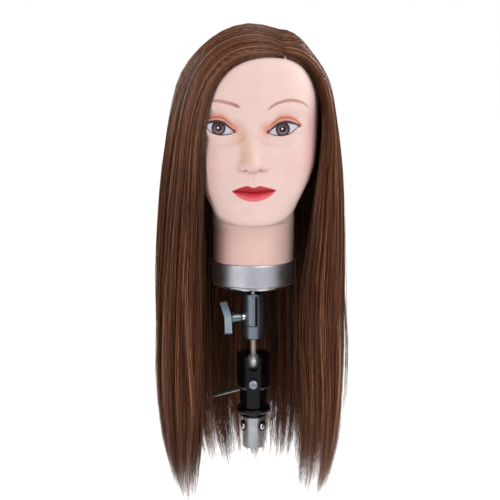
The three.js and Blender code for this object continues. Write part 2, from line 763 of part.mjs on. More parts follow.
function holderBase() {
  const group = new THREE.Group();
  group.add(
    mesh('stand_tube', standTube(), MATERIALS.steel),
    mesh('base_collar', baseCollar(), MATERIALS.blackMetal),
    mesh('housing_front', housingHalf(-1), MATERIALS.blackMetal),
    mesh('housing_rear', housingHalf(1), MATERIALS.blackMetal),
    mesh('ball_seat', ballSeat(), MATERIALS.nylon),
    mesh('clamp_bolt', clampBolt(), MATERIALS.chrome),
    mesh('lever_washer', leverWasher(), MATERIALS.steel),
    mesh('lever_nut', leverNut(), MATERIALS.steel),
    mesh('lock_lever', lockLever(), MATERIALS.blackMetal),
  );
  for (let i = 0; i < TUBE_SCREWS.count; i += 1) {
    const screw = mesh(`tube_screw_${i + 1}`, tubeScrew(), MATERIALS.chrome);
    screw.position.z = TUBE_SCREWS.z;
    screw.rotation.z = THREE.MathUtils.degToRad(TUBE_SCREWS.angle + (360 / TUBE_SCREWS.count) * i);
    group.add(screw);
  }
  return group;
}

function receiver() {
  const group = new THREE.Group();
  group.add(
    mesh('tilt_ball', tiltBall(), MATERIALS.chrome),
    mesh('tilt_rod', tiltRod(), MATERIALS.chrome),
    mesh('receiver_barrel', receiverBarrel(), MATERIALS.satin),
  );
  const clamp = new THREE.Group();
  clamp.position.z = CLAMP.z;
  clamp.rotation.z = THREE.MathUtils.degToRad(CLAMP.swing);
  clamp.add(
    mesh('clamp_bush', clampBush(), MATERIALS.chrome),
    mesh('clamp_pad', clampPad(), MATERIALS.nylon),
    mesh('clamp_screw', clampScrew(), MATERIALS.satin),
    mesh('clamp_handle', clampHandle(), MATERIALS.satin),
  );
  group.add(clamp);
  return group;
}

function trainingHead() {
  const group = new THREE.Group();
  group.add(
    mesh('spigot', spigot(), MATERIALS.chrome),
    mesh('spigot_washer', spigotWasher(), MATERIALS.steel),
    mesh('spigot_nut', spigotNut(), MATERIALS.steel),
    mesh('base_plate', basePlate(), MATERIALS.chrome),
    mesh('neck_socket', neckSocket(), MATERIALS.blackPlastic),
    mesh('neck_band', neckBand(), MATERIALS.silver),
    mesh('head_skin', headSkin(), MATERIALS.skin),
    mesh('foam_core', foamCore(), MATERIALS.foam),
    mesh('left_eye', eye(-1), MATERIALS.eye),
    mesh('right_eye', eye(1), MATERIALS.eye),
    mesh('hair_cap_left', hairCap(-1), MATERIALS.hair),
    mesh('hair_cap_right', hairCap(1), MATERIALS.hair),
    mesh('hair_side_left', hairCurtain(CURTAINS.left), MATERIALS.hair),
    mesh('hair_side_right', hairCurtain(CURTAINS.right), MATERIALS.hair),
    mesh('hair_back', hairCurtain(CURTAINS.back), MATERIALS.hair),
  );
  for (let i = 0; i < BASE_SCREWS.count; i += 1) {
    const screw = mesh(`base_screw_${i + 1}`, baseScrew(), MATERIALS.steel);
    const angle = THREE.MathUtils.degToRad((360 / BASE_SCREWS.count) * i);
    screw.position.set(BASE_SCREWS.circle * Math.cos(angle), BASE_SCREWS.circle * Math.sin(angle), 0);
    group.add(screw);
  }
  return group;
}

const model = new THREE.Group();
model.add(holderBase(), receiver(), trainingHead());

export default model;
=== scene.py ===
"""Looks for a mannequin training head on its ball-joint holder.

Every length in this file is in millimetres in the model's own frame (+Z up, the face looks
towards -Y) and becomes metres when a mesh is made.
"""

import math

import bpy
import numpy as np
from mathutils import Matrix, Vector


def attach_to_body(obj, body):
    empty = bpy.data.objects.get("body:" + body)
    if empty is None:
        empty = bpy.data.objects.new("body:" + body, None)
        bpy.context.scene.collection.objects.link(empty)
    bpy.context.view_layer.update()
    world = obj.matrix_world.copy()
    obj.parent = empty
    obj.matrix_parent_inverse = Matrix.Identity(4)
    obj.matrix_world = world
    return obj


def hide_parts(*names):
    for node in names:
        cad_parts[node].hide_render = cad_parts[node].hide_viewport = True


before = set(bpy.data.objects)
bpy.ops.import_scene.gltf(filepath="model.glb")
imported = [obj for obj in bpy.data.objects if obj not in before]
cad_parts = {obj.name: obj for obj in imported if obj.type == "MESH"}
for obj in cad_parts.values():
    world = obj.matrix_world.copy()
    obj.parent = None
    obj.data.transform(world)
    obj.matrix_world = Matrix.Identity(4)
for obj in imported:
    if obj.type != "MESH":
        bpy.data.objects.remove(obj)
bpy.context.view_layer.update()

MM = 0.001
# The blade's slope in degrees, and the height, square to it, up to which a painted highlight makes it bright.
LEVER_SLOPE = 16.7
LEVER_HIGHLIGHT_EDGE = 58.9
# Edges sharper than this stay sharp.
SMOOTH_ANGLE = math.radians(38)
# How deep a surface's bump pattern looks at full strength, in metres.
BUMP_DEPTH = 0.0001


# ------------------------------------------------------------------ small maths


def smooth(low, high, value):
    """Smooth step from 0 at low to 1 at high."""
    t = np.clip((np.asarray(value, float) - low) / (high - low), 0, 1)
    return t * t * (3 - 2 * t)


def curve(table, at, column=1):
    """Monotone cubic interpolation of a column of a table whose first column rises or falls."""
    rows = np.array(sorted(table, key=lambda row: row[0]), float)
    x, y = rows[:, 0], rows[:, column]
    step, slope = np.diff(x), np.diff(y) / np.diff(x)
    tangent = np.zeros(len(x))
    same = slope[:-1] * slope[1:] > 0
    tangent[1:-1][same] = 2 * slope[:-1][same] * slope[1:][same] / (slope[:-1][same] + slope[1:][same])
    tangent[0], tangent[-1] = slope[0], slope[-1]
    at = np.clip(np.asarray(at, float), x[0], x[-1])
    i = np.clip(np.searchsorted(x, at) - 1, 0, len(x) - 2)
    t = (at - x[i]) / step[i]
    start = (1 + 2 * t) * (1 - t) ** 2 * y[i] + t * (1 - t) ** 2 * step[i] * tangent[i]
    return start + t * t * (3 - 2 * t) * y[i + 1] + t * t * (t - 1) * step[i] * tangent[i + 1]


def ridge(distance, width):
    """A soft ridge of height 1."""
    return np.exp(-((distance / width) ** 2))


def mixed(first, second, share):
    """Colours between two others, for arrays of points."""
    return first + (second - first) * share[..., None]


def hill(x, z, x0, z0, width, height):
    """A soft round hill of height 1 centred on x0, z0."""
    return np.exp(-(((x - x0) / width) ** 2) - ((z - z0) / height) ** 2)


def linear(code):
    """A colour written as in a paint chart, '#rrggbb', in the linear values that shaders use."""
    srgb = np.array([int(code[i : i + 2], 16) / 255 for i in (1, 3, 5)])
    return np.where(srgb <= 0.04045, srgb / 12.92, ((srgb + 0.055) / 1.055) ** 2.4)


# ------------------------------------------------------------------ meshes


def link(name, mesh):
    made = bpy.data.objects.new(name, mesh)
    bpy.context.scene.collection.objects.link(made)
    return made


def mesh_from(name, points, faces, sharp=SMOOTH_ANGLE):
    """A mesh from points in millimetres."""
    mesh = bpy.data.meshes.new(name)
    mesh.from_pydata((np.asarray(points, float) * MM).tolist(), [], faces)
    mesh.validate()
    shade(mesh, sharp)
    return mesh


def shade(mesh, sharp=SMOOTH_ANGLE):
    mesh.shade_smooth()
    mesh.set_sharp_from_angle(angle=sharp)


def grid_faces(rows, columns, around):
    """Quads of a grid of rows, each with its points in order; around joins the last to the first."""
    faces = []
    for row in range(rows - 1):
        for i in range(columns if around else columns - 1):
            j = (i + 1) % columns
            low, high = row * columns, (row + 1) * columns
            faces.append((low + i, low + j, high + j, high + i))
    return faces


def rounded(profile, radius, closed, steps=3):
    """Rounds the corners of a polyline with arcs that use up to radius of each side."""
    points = [np.array(p, float) for p in profile]
    count = len(points)
    result = []
    for i, corner in enumerate(points):
        if not closed and i in (0, count - 1):
            result.append(corner)
            continue
        before, after = points[i - 1] - corner, points[(i + 1) % count] - corner
        room = min(radius, 0.45 * np.linalg.norm(before), 0.45 * np.linalg.norm(after))
        start = corner + before / np.linalg.norm(before) * room
        end = corner + after / np.linalg.norm(after) * room
        for k in range(steps + 1):
            t = k / steps
            result.append((1 - t) ** 2 * start + 2 * t * (1 - t) * corner + t * t * end)
    return result


def lathe(name, profile, edge=0.3, segments=96):
    """Turns a profile of (radius, height) points about Z. A profile off the axis closes on itself."""
    on_axis = profile[0][0] == 0 and profile[-1][0] == 0
    outline = rounded(profile, edge, closed=not on_axis)
    angles = np.linspace(0, 2 * math.pi, segments, endpoint=False)
    rings = [[(r * math.cos(a), r * math.sin(a), z) for a in angles] for r, z in outline]
    if on_axis:
        rings = rings[1:-1]
    points = [p for ring in rings for p in ring]
    faces = grid_faces(len(rings), segments, around=True)
    if on_axis:
        points += [(0, 0, outline[0][1]), (0, 0, outline[-1][1])]
        first, last = len(points) - 2, (len(rings) - 1) * segments
        for i in range(segments):
            j = (i + 1) % segments
            faces.append((first, j, i))
            faces.append((first + 1, last + i, last + j))
    else:
        last = (len(rings) - 1) * segments
        faces += [(last + i, last + (i + 1) % segments, (i + 1) % segments, i) for i in range(segments)]
    return link(name, mesh_from(name, points, faces))


def peg(radius, low, high, segments=48):
    """A plain round body about Z, for cutting."""
    return lathe("peg", [(0, low), (radius, low), (radius, high), (0, high)], 0.01, segments)


def ring(name, inner, outer, low, high, edge=0.2, segments=72):
    return lathe(name, [(inner, low), (outer, low), (outer, high), (inner, high)], edge, segments)


def block(name, x0, x1, y0, y1, z0, z1):
    points = [(x, y, z) for z in (z0, z1) for y in (y0, y1) for x in (x0, x1)]
    faces = [(0, 2, 3, 1), (4, 5, 7, 6), (0, 1, 5, 4), (2, 6, 7, 3), (0, 4, 6, 2), (1, 3, 7, 5)]
    return link(name, mesh_from(name, points, faces))


def prism(name, outline, low, high):
    """A flat outline of (x, z) points given thickness from y = low to y = high."""
    count = len(outline)
    points = [(x, y, z) for y in (low, high) for x, z in outline]
    faces = [tuple(range(count)), tuple(reversed(range(count, 2 * count)))]
    faces += [(i, i + count, (i + 1) % count + count, (i + 1) % count) for i in range(count)]
    return link(name, mesh_from(name, points, faces))


def tube(name, path, radii, sides=12):
    """A closed tube along a path of points, with a radius at each."""
    path = np.asarray(path, float)
    tangent = np.gradient(path, axis=0)
    tangent /= np.linalg.norm(tangent, axis=1, keepdims=True)
    side = np.cross(tangent, [0.0, -1.0, 0.0])
    side /= np.linalg.norm(side, axis=1, keepdims=True)
    up = np.cross(side, tangent)
    angles = np.linspace(0, 2 * math.pi, sides, endpoint=False)
    points = []
    for p, s, u, r in zip(path, side, up, radii):
        points += [p + r * (math.cos(a) * s + math.sin(a) * u) for a in angles]
    faces = grid_faces(len(path), sides, around=True)
    last = (len(path) - 1) * sides
    faces += [tuple(reversed(range(sides))), tuple(range(last, last + sides))]
    return link(name, mesh_from(name, points, faces, sharp=math.pi))


def moved(piece, *matrices):
    """Applies transforms, the first one first, to the mesh itself."""
    for matrix in matrices:
        piece.data.transform(matrix)
    return piece


def turn(axis, degrees):
    return Matrix.Rotation(math.radians(degrees), 4, axis)


def shift(x, y, z):
    return Matrix.Translation((x * MM, y * MM, z * MM))


def bake_modifiers(piece):
    """Puts the result of a piece's modifiers in its mesh."""
    bpy.context.view_layer.update()
    evaluated = piece.evaluated_get(bpy.context.evaluated_depsgraph_get())
    piece.data = bpy.data.meshes.new_from_object(evaluated)
    piece.modifiers.clear()
    return piece


def boolean(piece, operation, tools):
    for tool in tools:
        modifier = piece.modifiers.new(operation, "BOOLEAN")
        modifier.operation = operation
        modifier.solver = "EXACT"
        modifier.object = tool
    bake_modifiers(piece)
    for tool in tools:
        bpy.data.objects.remove(tool)
    return piece


def bevel(piece, width, segments=3, angle=35):
    modifier = piece.modifiers.new("bevel", "BEVEL")
    modifier.width = width * MM
    modifier.segments = segments
    modifier.limit_method = "ANGLE"
    modifier.angle_limit = math.radians(angle)
    modifier.use_clamp_overlap = True
    bake_modifiers(piece)
    shade(piece.data)
    return piece


def attach(piece, material, body):
    """Gives a piece its material and body."""
    piece.data.materials.clear()
    piece.data.materials.append(MATERIALS[material])
    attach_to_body(piece, body)
    return piece


def place(piece, material, body, slot, *nodes):
    """Attaches a machined or moulded piece, evens its shading and hides the nodes it stands for."""
    modifier = piece.modifiers.new("even shading", "WEIGHTED_NORMAL")
    modifier.keep_sharp = True
    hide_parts(*nodes)
    return attach(piece, material, body)


# ------------------------------------------------------------------ materials


def node(tree, kind, inputs=None, **settings):
    made = tree.nodes.new(kind)
    for key, value in settings.items():
        setattr(made, key, value)
    for key, value in (inputs or {}).items():
        if isinstance(value, bpy.types.NodeSocket):
            tree.links.new(value, made.inputs[key])
        else:
            made.inputs[key].default_value = value
    return made


def new_material(name, **shader):
    """A material and its Principled shader, with plain socket values set."""
    material = bpy.data.materials.new(name)
    material.use_nodes = True
    principled = material.node_tree.nodes["Principled BSDF"]
    for key, value in shader.items():
        principled.inputs[key.replace("_", " ").title().replace("Ior", "IOR")].default_value = value
    return material, material.node_tree, principled


def pattern(tree, scale, detail=3.0, stretch=(1, 1, 1)):
    """Noise in the object's own coordinates, in cycles a metre, stretched along its axes."""
    local = node(tree, "ShaderNodeTexCoord").outputs["Object"]
    mapping = node(tree, "ShaderNodeMapping", {"Vector": local, "Scale": stretch})
    inputs = {"Vector": mapping.outputs[0], "Scale": scale, "Detail": detail, "Roughness": 0.55}
    return node(tree, "ShaderNodeTexNoise", inputs).outputs["Fac"]


def remap(tree, value, low, high, start=0.3, end=0.7):
    inputs = {"Value": value, "From Min": start, "From Max": end, "To Min": low, "To Max": high}
    return node(tree, "ShaderNodeMapRange", inputs).outputs[0]


def combine(tree, operation, first, second, clamp=False):
    made = node(tree, "ShaderNodeMath", {0: first, 1: second}, operation=operation, use_clamp=clamp)
    return made.outputs[0]


def blend_colours(tree, factor, first, second):
    inputs = {0: factor, 6: (*linear(first), 1), 7: (*linear(second), 1)}
    return node(tree, "ShaderNodeMix", inputs, data_type="RGBA").outputs[2]


def painted(tree, value):
    """The mesh's own "paint" colour, made lighter and darker by a value."""
    paint = node(tree, "ShaderNodeAttribute", attribute_name="paint").outputs["Color"]
    return node(tree, "ShaderNodeHueSaturation", {"Color": paint, "Value": value}).outputs[0]


def feed(principled, colour, gloss, height, strength, distance=BUMP_DEPTH):
    """Drives a shader's colour, roughness and bump from nodes."""
    tree = principled.id_data
    tree.links.new(colour, principled.inputs["Base Color"])
    if gloss is not None:
        tree.links.new(gloss, principled.inputs["Roughness"])
    inputs = {"Height": height, "Strength": strength, "Distance": distance}
    bump = node(tree, "ShaderNodeBump", inputs)
    tree.links.new(bump.outputs[0], principled.inputs["Normal"])


def metal(name, light, dark, roughness, grain, grain_stretch, metallic=1.0, depth=0.12):
    """A metal with a grain in one direction, smudges in its gloss and slightly darker patches."""
    material, tree, principled = new_material(name, metallic=metallic)
    lines, smudge = pattern(tree, grain, 4.0, grain_stretch), pattern(tree, 60, 4.0)
    tint = blend_colours(tree, remap(tree, smudge, 0, 1), light, dark)
    both = combine(tree, "ADD", lines, smudge)
    gloss = remap(tree, both, roughness * 0.75, roughness * 1.35, 0.7, 1.3)
    feed(principled, tint, gloss, lines, depth)
    return material


def moulded(name, light, dark, roughness, grain, depth=0.25, coat=0.0, specular=0.5):
    """Plastic or paint with a fine orange-peel surface, faint mottling and worn gloss."""
    shader = {"coat_weight": coat, "coat_roughness": 0.08, "specular_ior_level": specular}
    material, tree, principled = new_material(name, **shader)
    mottle = pattern(tree, 45, 5.0)
    tint = blend_colours(tree, remap(tree, mottle, 0, 1, 0.35, 0.7), light, dark)
    gloss = remap(tree, mottle, roughness * 0.8, roughness * 1.3)
    feed(principled, tint, gloss, pattern(tree, grain, 2.0), depth)
    return material


def lever_painted_highlight():
    """Black paint with a painted highlight: the blade's lower edge is painted bright steel-grey."""
    material, tree, principled = new_material("lever_painted_highlight", roughness=0.25, metallic=0.4)
    local = node(tree, "ShaderNodeTexCoord").outputs["Object"]
    inputs = {"Vector": local, "Angle": math.radians(LEVER_SLOPE)}
    turned = node(tree, "ShaderNodeVectorRotate", inputs, rotation_type="Y_AXIS")
    height = node(tree, "ShaderNodeSeparateXYZ", {0: turned.outputs[0]}).outputs[2]
    # A painted highlight: the blade is painted bright steel-grey up to a ragged height along its lower edge.
    edge_noise = combine(tree, "MULTIPLY", pattern(tree, 500), 0.0012)
    level = combine(tree, "ADD", height, edge_noise)
    edge, fade = LEVER_HIGHLIGHT_EDGE * MM, 0.4 * MM
    bright = remap(tree, level, 1, 0, edge - fade, edge + fade)
    colour = blend_colours(tree, bright, "#0f1012", "#d8d2c8")
    feed(principled, colour, None, pattern(tree, 900, 2.0), 0.08)
    return material


def painted_surface(name, roughness, grain, depth, subsurface=0.0, coat=0.0, specular=0.32):
    """Takes its colour from the mesh's "paint" attribute and its shine from "gloss"."""
    material, tree, principled = new_material(
        name,
        coat_weight=coat,
        coat_roughness=0.03,
        specular_ior_level=specular,
        subsurface_weight=subsurface,
        subsurface_radius=(1.0, 0.6, 0.45),
        subsurface_scale=0.002,
    )
    mottle = pattern(tree, 90, 4.0)
    dull = remap(tree, mottle, roughness * 0.9, roughness * 1.1)
    shine = node(tree, "ShaderNodeAttribute", attribute_name="gloss").outputs["Fac"]
    gloss = combine(tree, "SUBTRACT", dull, shine, clamp=True)
    colour = painted(tree, remap(tree, mottle, 0.975, 1.02))
    feed(principled, colour, gloss, pattern(tree, grain, 2.0), depth, BUMP_DEPTH / 2)
    return material


def hair_material(name, roughness):
    """Colour from each strand's own "paint"; fine streaks run down the hair."""
    shader = {"specular_ior_level": 0.5, "specular_tint": (1, 0.82, 0.7, 1)}
    material, tree, principled = new_material(name, **shader)
    streaks = pattern(tree, 900, 3.0, (1, 1, 0.05))
    gloss = remap(tree, streaks, roughness * 0.8, roughness * 1.25)
    feed(principled, painted(tree, remap(tree, streaks, 0.75, 1.25)), gloss, streaks, 0.2)
    return material


EVEN = (1, 1, 1)
ROUND_Z = (0.05, 0.05, 8)
ALONG_Z = (8, 8, 0.1)
MATERIALS = {
    "skin": painted_surface("vinyl_skin", 0.55, 2600, 0.12, subsurface=0.06),
    "eye": painted_surface("glass_eye", 0.35, 300, 0.0, coat=0.1, specular=0.15),
    "liner": moulded("lash_paint", "#4a2230", "#331722", 0.45, 1500),
    "hair": hair_material("hair_fibre", 0.36),
    "hair_base": hair_material("hair_underlayer", 0.6),
    "band": metal("satin_band", "#dcdde4", "#c6c8d0", 0.4, 420, ROUND_Z, depth=0.04),
    "chrome": metal("polished_chrome", "#e6e8ea", "#c9ccd0", 0.11, 900, EVEN, depth=0.02),
    "tube": metal("satin_tube", "#cfd1d5", "#b2b5ba", 0.44, 500, ALONG_Z, depth=0.08),
    "barrel": metal("satin_barrel", "#98a1ac", "#808995", 0.43, 420, ROUND_Z, depth=0.03),
    "ball": metal("bright_ball", "#f0f2f4", "#dfe2e6", 0.4, 900, EVEN, metallic=0.85, depth=0.01),
    "rod": metal("turned_rod", "#cfc0b4", "#b5a599", 0.5, 700, EVEN, metallic=0.6, depth=0.05),
    # The shank's dark colour is painted shade for the inside of the receiver.
    "shank": metal("shank_painted_shade", "#3b3f46", "#2a2d33", 0.4, 500, EVEN, depth=0.05),
    "cast": metal("cast_handle", "#87929b", "#66717a", 0.3, 1400, EVEN, depth=0.25),
    "bolt": metal("zinc_bolt", "#aebac6", "#93a0ad", 0.42, 700, EVEN, metallic=0.8, depth=0.08),
    "steel": metal("plain_steel", "#b5b8bc", "#8f9398", 0.32, 700, EVEN, depth=0.1),
    "black": moulded("black_enamel", "#050507", "#08080b", 0.24, 900, 0.08, coat=0.06, specular=0.26),
    "lever": lever_painted_highlight(),
    "nylon": moulded("nylon", "#1b1b1d", "#131315", 0.5, 1200),
    "plastic": moulded("socket_plastic", "#222327", "#17181b", 0.5, 1300),
    "foam": moulded("foam_core", "#dccfa6", "#c4b483", 0.92, 700, depth=0.9),
}


# ------------------------------------------------------------------ camera, light and floor

CAMERA_PLACE = (-0.0035, -0.95, 0.374)
CAMERA_TILT = 80.54
CAMERA_LENS = 65.88
HEAD_MIDDLE = (0, 0, 0.25)
# Name, place, what it points at, diameter (all in metres) and power.
LIGHTS = [
    ("key", (0.7, -1.35, 0.95), HEAD_MIDDLE, 1.1, 10.6),
    ("fill", (-0.95, -1.15, 0.45), (0, 0, 0.2), 1.1, 5),
    ("top", (0.15, 0.1, 1.6), (0, 0, 0.35), 0.9, 6),
    ("side_left", (-1.3, -0.25, 0.5), HEAD_MIDDLE, 0.6, 2),
    ("side_right", (1.3, -0.2, 0.6), HEAD_MIDDLE, 0.6, 3),
    ("rim_left", (-1.0, 0.9, 0.8), HEAD_MIDDLE, 0.8, 6),
    ("rim_right", (1.0, 0.85, 0.9), HEAD_MIDDLE, 0.8, 17),
]
WHITE = (1, 1, 1, 1)
FLOOR_TOP = -420


def make_camera():
    data = bpy.data.cameras.new("camera")
    data.sensor_width = 36
    data.lens = CAMERA_LENS
    data.clip_start = 0.02
    camera = link("camera", data)
    camera.location = CAMERA_PLACE
    camera.rotation_euler = (math.radians(CAMERA_TILT), 0, 0)
    bpy.context.scene.camera = camera


def area_light(name, position, target, size, power):
    data = bpy.data.lights.new(name, "AREA")
    data.shape = "DISK"
    data.size = size
    data.energy = power
    light = link(name, data)
    light.location = position
    light.rotation_euler = (Vector(target) - Vector(position)).to_track_quat("-Z", "Y").to_euler()


def make_world(seen, lighting):
    """The camera sees a nearly white room; the object is lit by a dimmer one."""
    world = bpy.data.worlds.new("room")
    world.use_nodes = True
    tree = world.node_tree
    tree.nodes.clear()
    path = node(tree, "ShaderNodeLightPath")
    dim = node(tree, "ShaderNodeBackground", {"Color": WHITE, "Strength": lighting})
    bright = node(tree, "ShaderNodeBackground", {"Color": WHITE, "Strength": seen})
    inputs = {0: path.outputs["Is Camera Ray"], 1: dim.outputs[0], 2: bright.outputs[0]}
    mix = node(tree, "ShaderNodeMixShader", inputs)
    node(tree, "ShaderNodeOutputWorld", {"Surface": mix.outputs[0]})
    bpy.context.scene.world = world


def make_floor(height, radius=30000):
    """A wide pale disc that glows a little, for the camera only, so that its far edge doesn't show."""
    floor = lathe("floor", [(0, height - 1), (radius, height - 1), (radius, height), (0, height)])
    material, tree, principled = new_material("pale_floor", roughness=0.9, emission_color=WHITE)
    cloud = remap(tree, pattern(tree, 3), 0, 1)
    tint = blend_colours(tree, cloud, "#fbfbfb", "#f5f5f6")
    tree.links.new(tint, principled.inputs["Base Color"])
    seen = node(tree, "ShaderNodeLightPath").outputs["Is Camera Ray"]
    tree.links.new(combine(tree, "MULTIPLY", seen, 0.75), principled.inputs["Emission Strength"])
    floor.data.materials.append(material)


make_camera()
make_world(seen=1.0, lighting=0.3)
make_floor(FLOOR_TOP)
for lamp in LIGHTS:
    area_light(*lamp)
bpy.context.scene.view_settings.view_transform = "Standard"


# ------------------------------------------------------------------ holder, stand side

REAR_FACE = 19.5
BOLT_HEIGHT = 74.5
BALL_HEIGHT = 93.4
BALL_RADIUS = 9.6
SEAT_ROOM = 12.5
NOTCH_HALF = 5.5
BOLT_HOLE = 2.8
SCREW_HEIGHT = 24.5
LEVER_LIFT = 1.6


def stand_tube():
    place(ring("tube", 9.7, 11.2, 0, 34, 0.35, 96), "tube", "holder", "tube_steel", "stand_tube")


def screw_along_x(name, radius, height, recess):
    """A pan head that stands on x = 0, with its shank behind it and a hexagonal recess."""
    dome = [(0, height), (radius * 0.55, height), (radius * 0.88, height * 0.72)]
    dome += [(radius, height * 0.3), (radius, 0), (radius * 0.5, 0), (radius * 0.5, -5), (0, -5)]
    head = lathe(name, dome, edge=0.6, segments=64)
    boolean(head, "DIFFERENCE", [peg(recess, height - 1.3, 9, 6)])
    shade(head.data)
    return moved(head, turn("Y", 90))


def tube_screws():
    for index in range(3):
        screw = screw_along_x(f"pan_screw_{index + 1}", 4.0, 2.6, 1.5)
        washer = moved(ring(f"screw_ring_{index + 1}", 2.2, 5.6, -0.1, 0.7, segments=48), turn("Y", 90))
        for piece in (screw, washer):
            moved(piece, shift(11.45, 0, SCREW_HEIGHT), turn("Z", 120 * index - 156))
        place(screw, "chrome", "holder", "chrome", f"tube_screw_{index + 1}")
        place(washer, "black", "holder", "steel")


def base_collar():
    profile = [(0, 14), (9.3, 14), (9.3, 34.4), (12.7, 34.4), (12.7, 38.8), (13.6, 39.6), (16.4, 39.6)]
    profile += [(18.2, 41.4), (18.2, 44.2), (17.4, 45), (8.6, 45), (8.6, 63), (0, 63)]
    body = lathe("collar", profile, edge=0.5)
    drains = [moved(block("drain", 10.6, 14, -1.9, 1.9, 35.5, 37.9), turn("Z", a)) for a in (-60, -120)]
    boolean(body, "DIFFERENCE", drains)
    bevel(body, 0.12, 2, 50)
    place(body, "black", "holder", "black_alloy", "base_collar")


def housing_body(name):
    profile = [(0, 45.3), (14.6, 45.3), (14.6, 65.6), (17.8, 69.4), (17.8, 102.4), (15.8, 104.5), (0, 104.5)]
    body = lathe(name, profile, edge=0.9, segments=128)
    bosses = []
    for side in (1, -1):
        boss = lathe("boss", [(0, 0), (6.9, 0), (6.9, 4), (0, 4)], 0.5, 64)
        bosses.append(moved(boss, turn("X", 90 * side), shift(0, -15.2 * side, BOLT_HEIGHT)))
    return boolean(body, "UNION", bosses)


def housing_hollows():
    arc = np.linspace(0, math.pi, 33)
    room = [(SEAT_ROOM * math.sin(a), BALL_HEIGHT - SEAT_ROOM * math.cos(a)) for a in arc]
    mouth = [(0, BALL_HEIGHT), (8.3, BALL_HEIGHT), (8.3, 99.5), (11.2, 105.5), (0, 105.5)]
    return [
        lathe("room", room, 0.01, 96),
        lathe("mouth", mouth, 0.3, 96),
        moved(peg(NOTCH_HALF, 0, 30, 64), turn("X", 90), shift(0, 0, BALL_HEIGHT)),
        block("notch", -NOTCH_HALF, NOTCH_HALF, -30, 0, BALL_HEIGHT, 107),
        moved(peg(BOLT_HOLE, -30, 30, 32), turn("X", 90), shift(0, 0, BOLT_HEIGHT)),
        peg(8.9, 44, 63.3, 64),
    ]


def housing_half(name, node_name, near, far):
    body = housing_body(name)
    boolean(body, "DIFFERENCE", housing_hollows())
    boolean(body, "INTERSECT", [block("half", -30, 30, near, far, 20, 150)])
    bevel(body, 0.45, 3, 40)
    place(body, "black", "holder", "black_alloy", node_name)


def clamp_bolt():
    dome = [(0, -2.4), (1.6, -2.35), (3.2, -1.95), (4.4, -1.2), (4.9, -0.4), (4.9, 0)]
    head = lathe("bolt", dome + [(2.5, 0), (2.5, 49), (0, 49)], 0.25, 96)
    wings = [block("cross", -x, x, -y, y, -4, -1) for x, y in ((2.6, 0.55), (0.55, 2.6))]
    boolean(head, "DIFFERENCE", wings)
    shade(head.data)
    moved(head, turn("X", -90), shift(0, -REAR_FACE, BOLT_HEIGHT))
    place(head, "bolt", "holder", "chrome", "clamp_bolt")


def lever_bar(name, start, end, start_half, end_half, thickness):
    """A flat bar with a round far end; its length and its round end are one outline."""
    along = (Vector(end) - Vector(start)).normalized()
    across = Vector((-along.y, along.x))
    turns = np.linspace(0, math.pi, 9)
    tip = [Vector(end) + end_half * (math.cos(a) * across + math.sin(a) * along) for a in turns]
    outline = [Vector(start) + across * start_half, *tip, Vector(start) - across * start_half]
    return prism(name, [tuple(p) for p in outline], 0, thickness)


def lock_lever():
    """An arm from the nut's hub down to an elbow, and a tapered blade out to the left."""
    elbow, thick, hub = (-6, -14.1), 3.2, 7.5
    lever = lever_bar("lever", elbow, (-44.5, -25.7), 3.1, 1.5, thick)
    arm = lever_bar("arm", (0, 0), elbow, 4, 3.1, thick)
    disc = moved(lathe("disc", [(0, 0), (hub, 0), (hub, thick + 1), (0, thick + 1)], 0.4, 72), turn("X", -90))
    boolean(lever, "UNION", [arm, disc])
    boolean(lever, "DIFFERENCE", [moved(peg(5.1, -5, 10, 6), turn("X", -90), turn("Y", -LEVER_SLOPE))])
    bevel(lever, 0.6, 3, 30)
    moved(lever, shift(0, REAR_FACE + LEVER_LIFT, BOLT_HEIGHT))
    place(lever, "lever", "lever", "lever_steel", "lock_lever")


def lever_nut_and_washer():
    hexagon = ring("nut", BOLT_HOLE, 4.7, 0, 5.6, segments=6)
    profile = [(BOLT_HOLE, 5.4), (6, 5.4), (6, 7.4), (5.2, 8.4), (BOLT_HOLE, 8.4)]
    boolean(hexagon, "UNION", [lathe("shoulder", profile, 0.4, 72)])
    shade(hexagon.data)
    moved(hexagon, turn("X", -90), turn("Y", -LEVER_SLOPE), shift(0, REAR_FACE + LEVER_LIFT, BOLT_HEIGHT))
    place(hexagon, "steel", "lever", "steel", "lever_nut")
    washer = moved(ring("washer", BOLT_HOLE, 6.4, 0, 1), turn("X", -90), shift(0, REAR_FACE, BOLT_HEIGHT))
    place(washer, "steel", "holder", "steel", "lever_washer")


# ------------------------------------------------------------------ ball, rod and receiver

CLAMP_SWING = 200
CLAMP_HEIGHT = 144.6
BARREL_RADIUS = 10.6
BARREL_FOOT = 120.6
ROD_RADIUS = 3
ROD_ROOM = 3.3


def tilt_ball_and_rod():
    arc = np.linspace(0, math.pi, 49)
    profile = [(BALL_RADIUS * math.sin(a), BALL_HEIGHT - BALL_RADIUS * math.cos(a)) for a in arc]
    profile[0], profile[-1] = (0, profile[0][1]), (0, profile[-1][1])
    ball = lathe("ball", profile, 0.01, 96)
    boolean(ball, "DIFFERENCE", [peg(ROD_ROOM, 96.5, 120)])
    shade(ball.data)
    place(ball, "ball", "ball", "chrome", "tilt_ball")
    rod = lathe("rod", [(0, 96.8), (ROD_RADIUS, 96.8), (ROD_RADIUS, 126), (0, 126)], 0.4, 64)
    place(rod, "rod", "receiver", "chrome", "tilt_rod")


def receiver_barrel():
    outer = BARREL_RADIUS
    profile = [(0, BARREL_FOOT), (outer - 1.3, BARREL_FOOT), (outer, BARREL_FOOT + 1.3), (outer, 169)]
    body = lathe("barrel", profile + [(outer - 0.6, 169.6), (0, 169.6)], edge=0.35, segments=128)
    hollows = [
        peg(8.2, 128, 172, 96),
        peg(ROD_ROOM, 119, 126.3),
        block("upright", 1.7, 4.4, -20, -4, 134.7, 167.6),
        block("across", -20, 1.8, -20, 0, 134.7, 135.6),
        on_clamp(peg(3.7, 0, 20)),
    ]
    boolean(body, "DIFFERENCE", hollows)
    bevel(body, 0.14, 2, 40)
    place(body, "barrel", "receiver", "barrel_steel", "receiver_barrel")


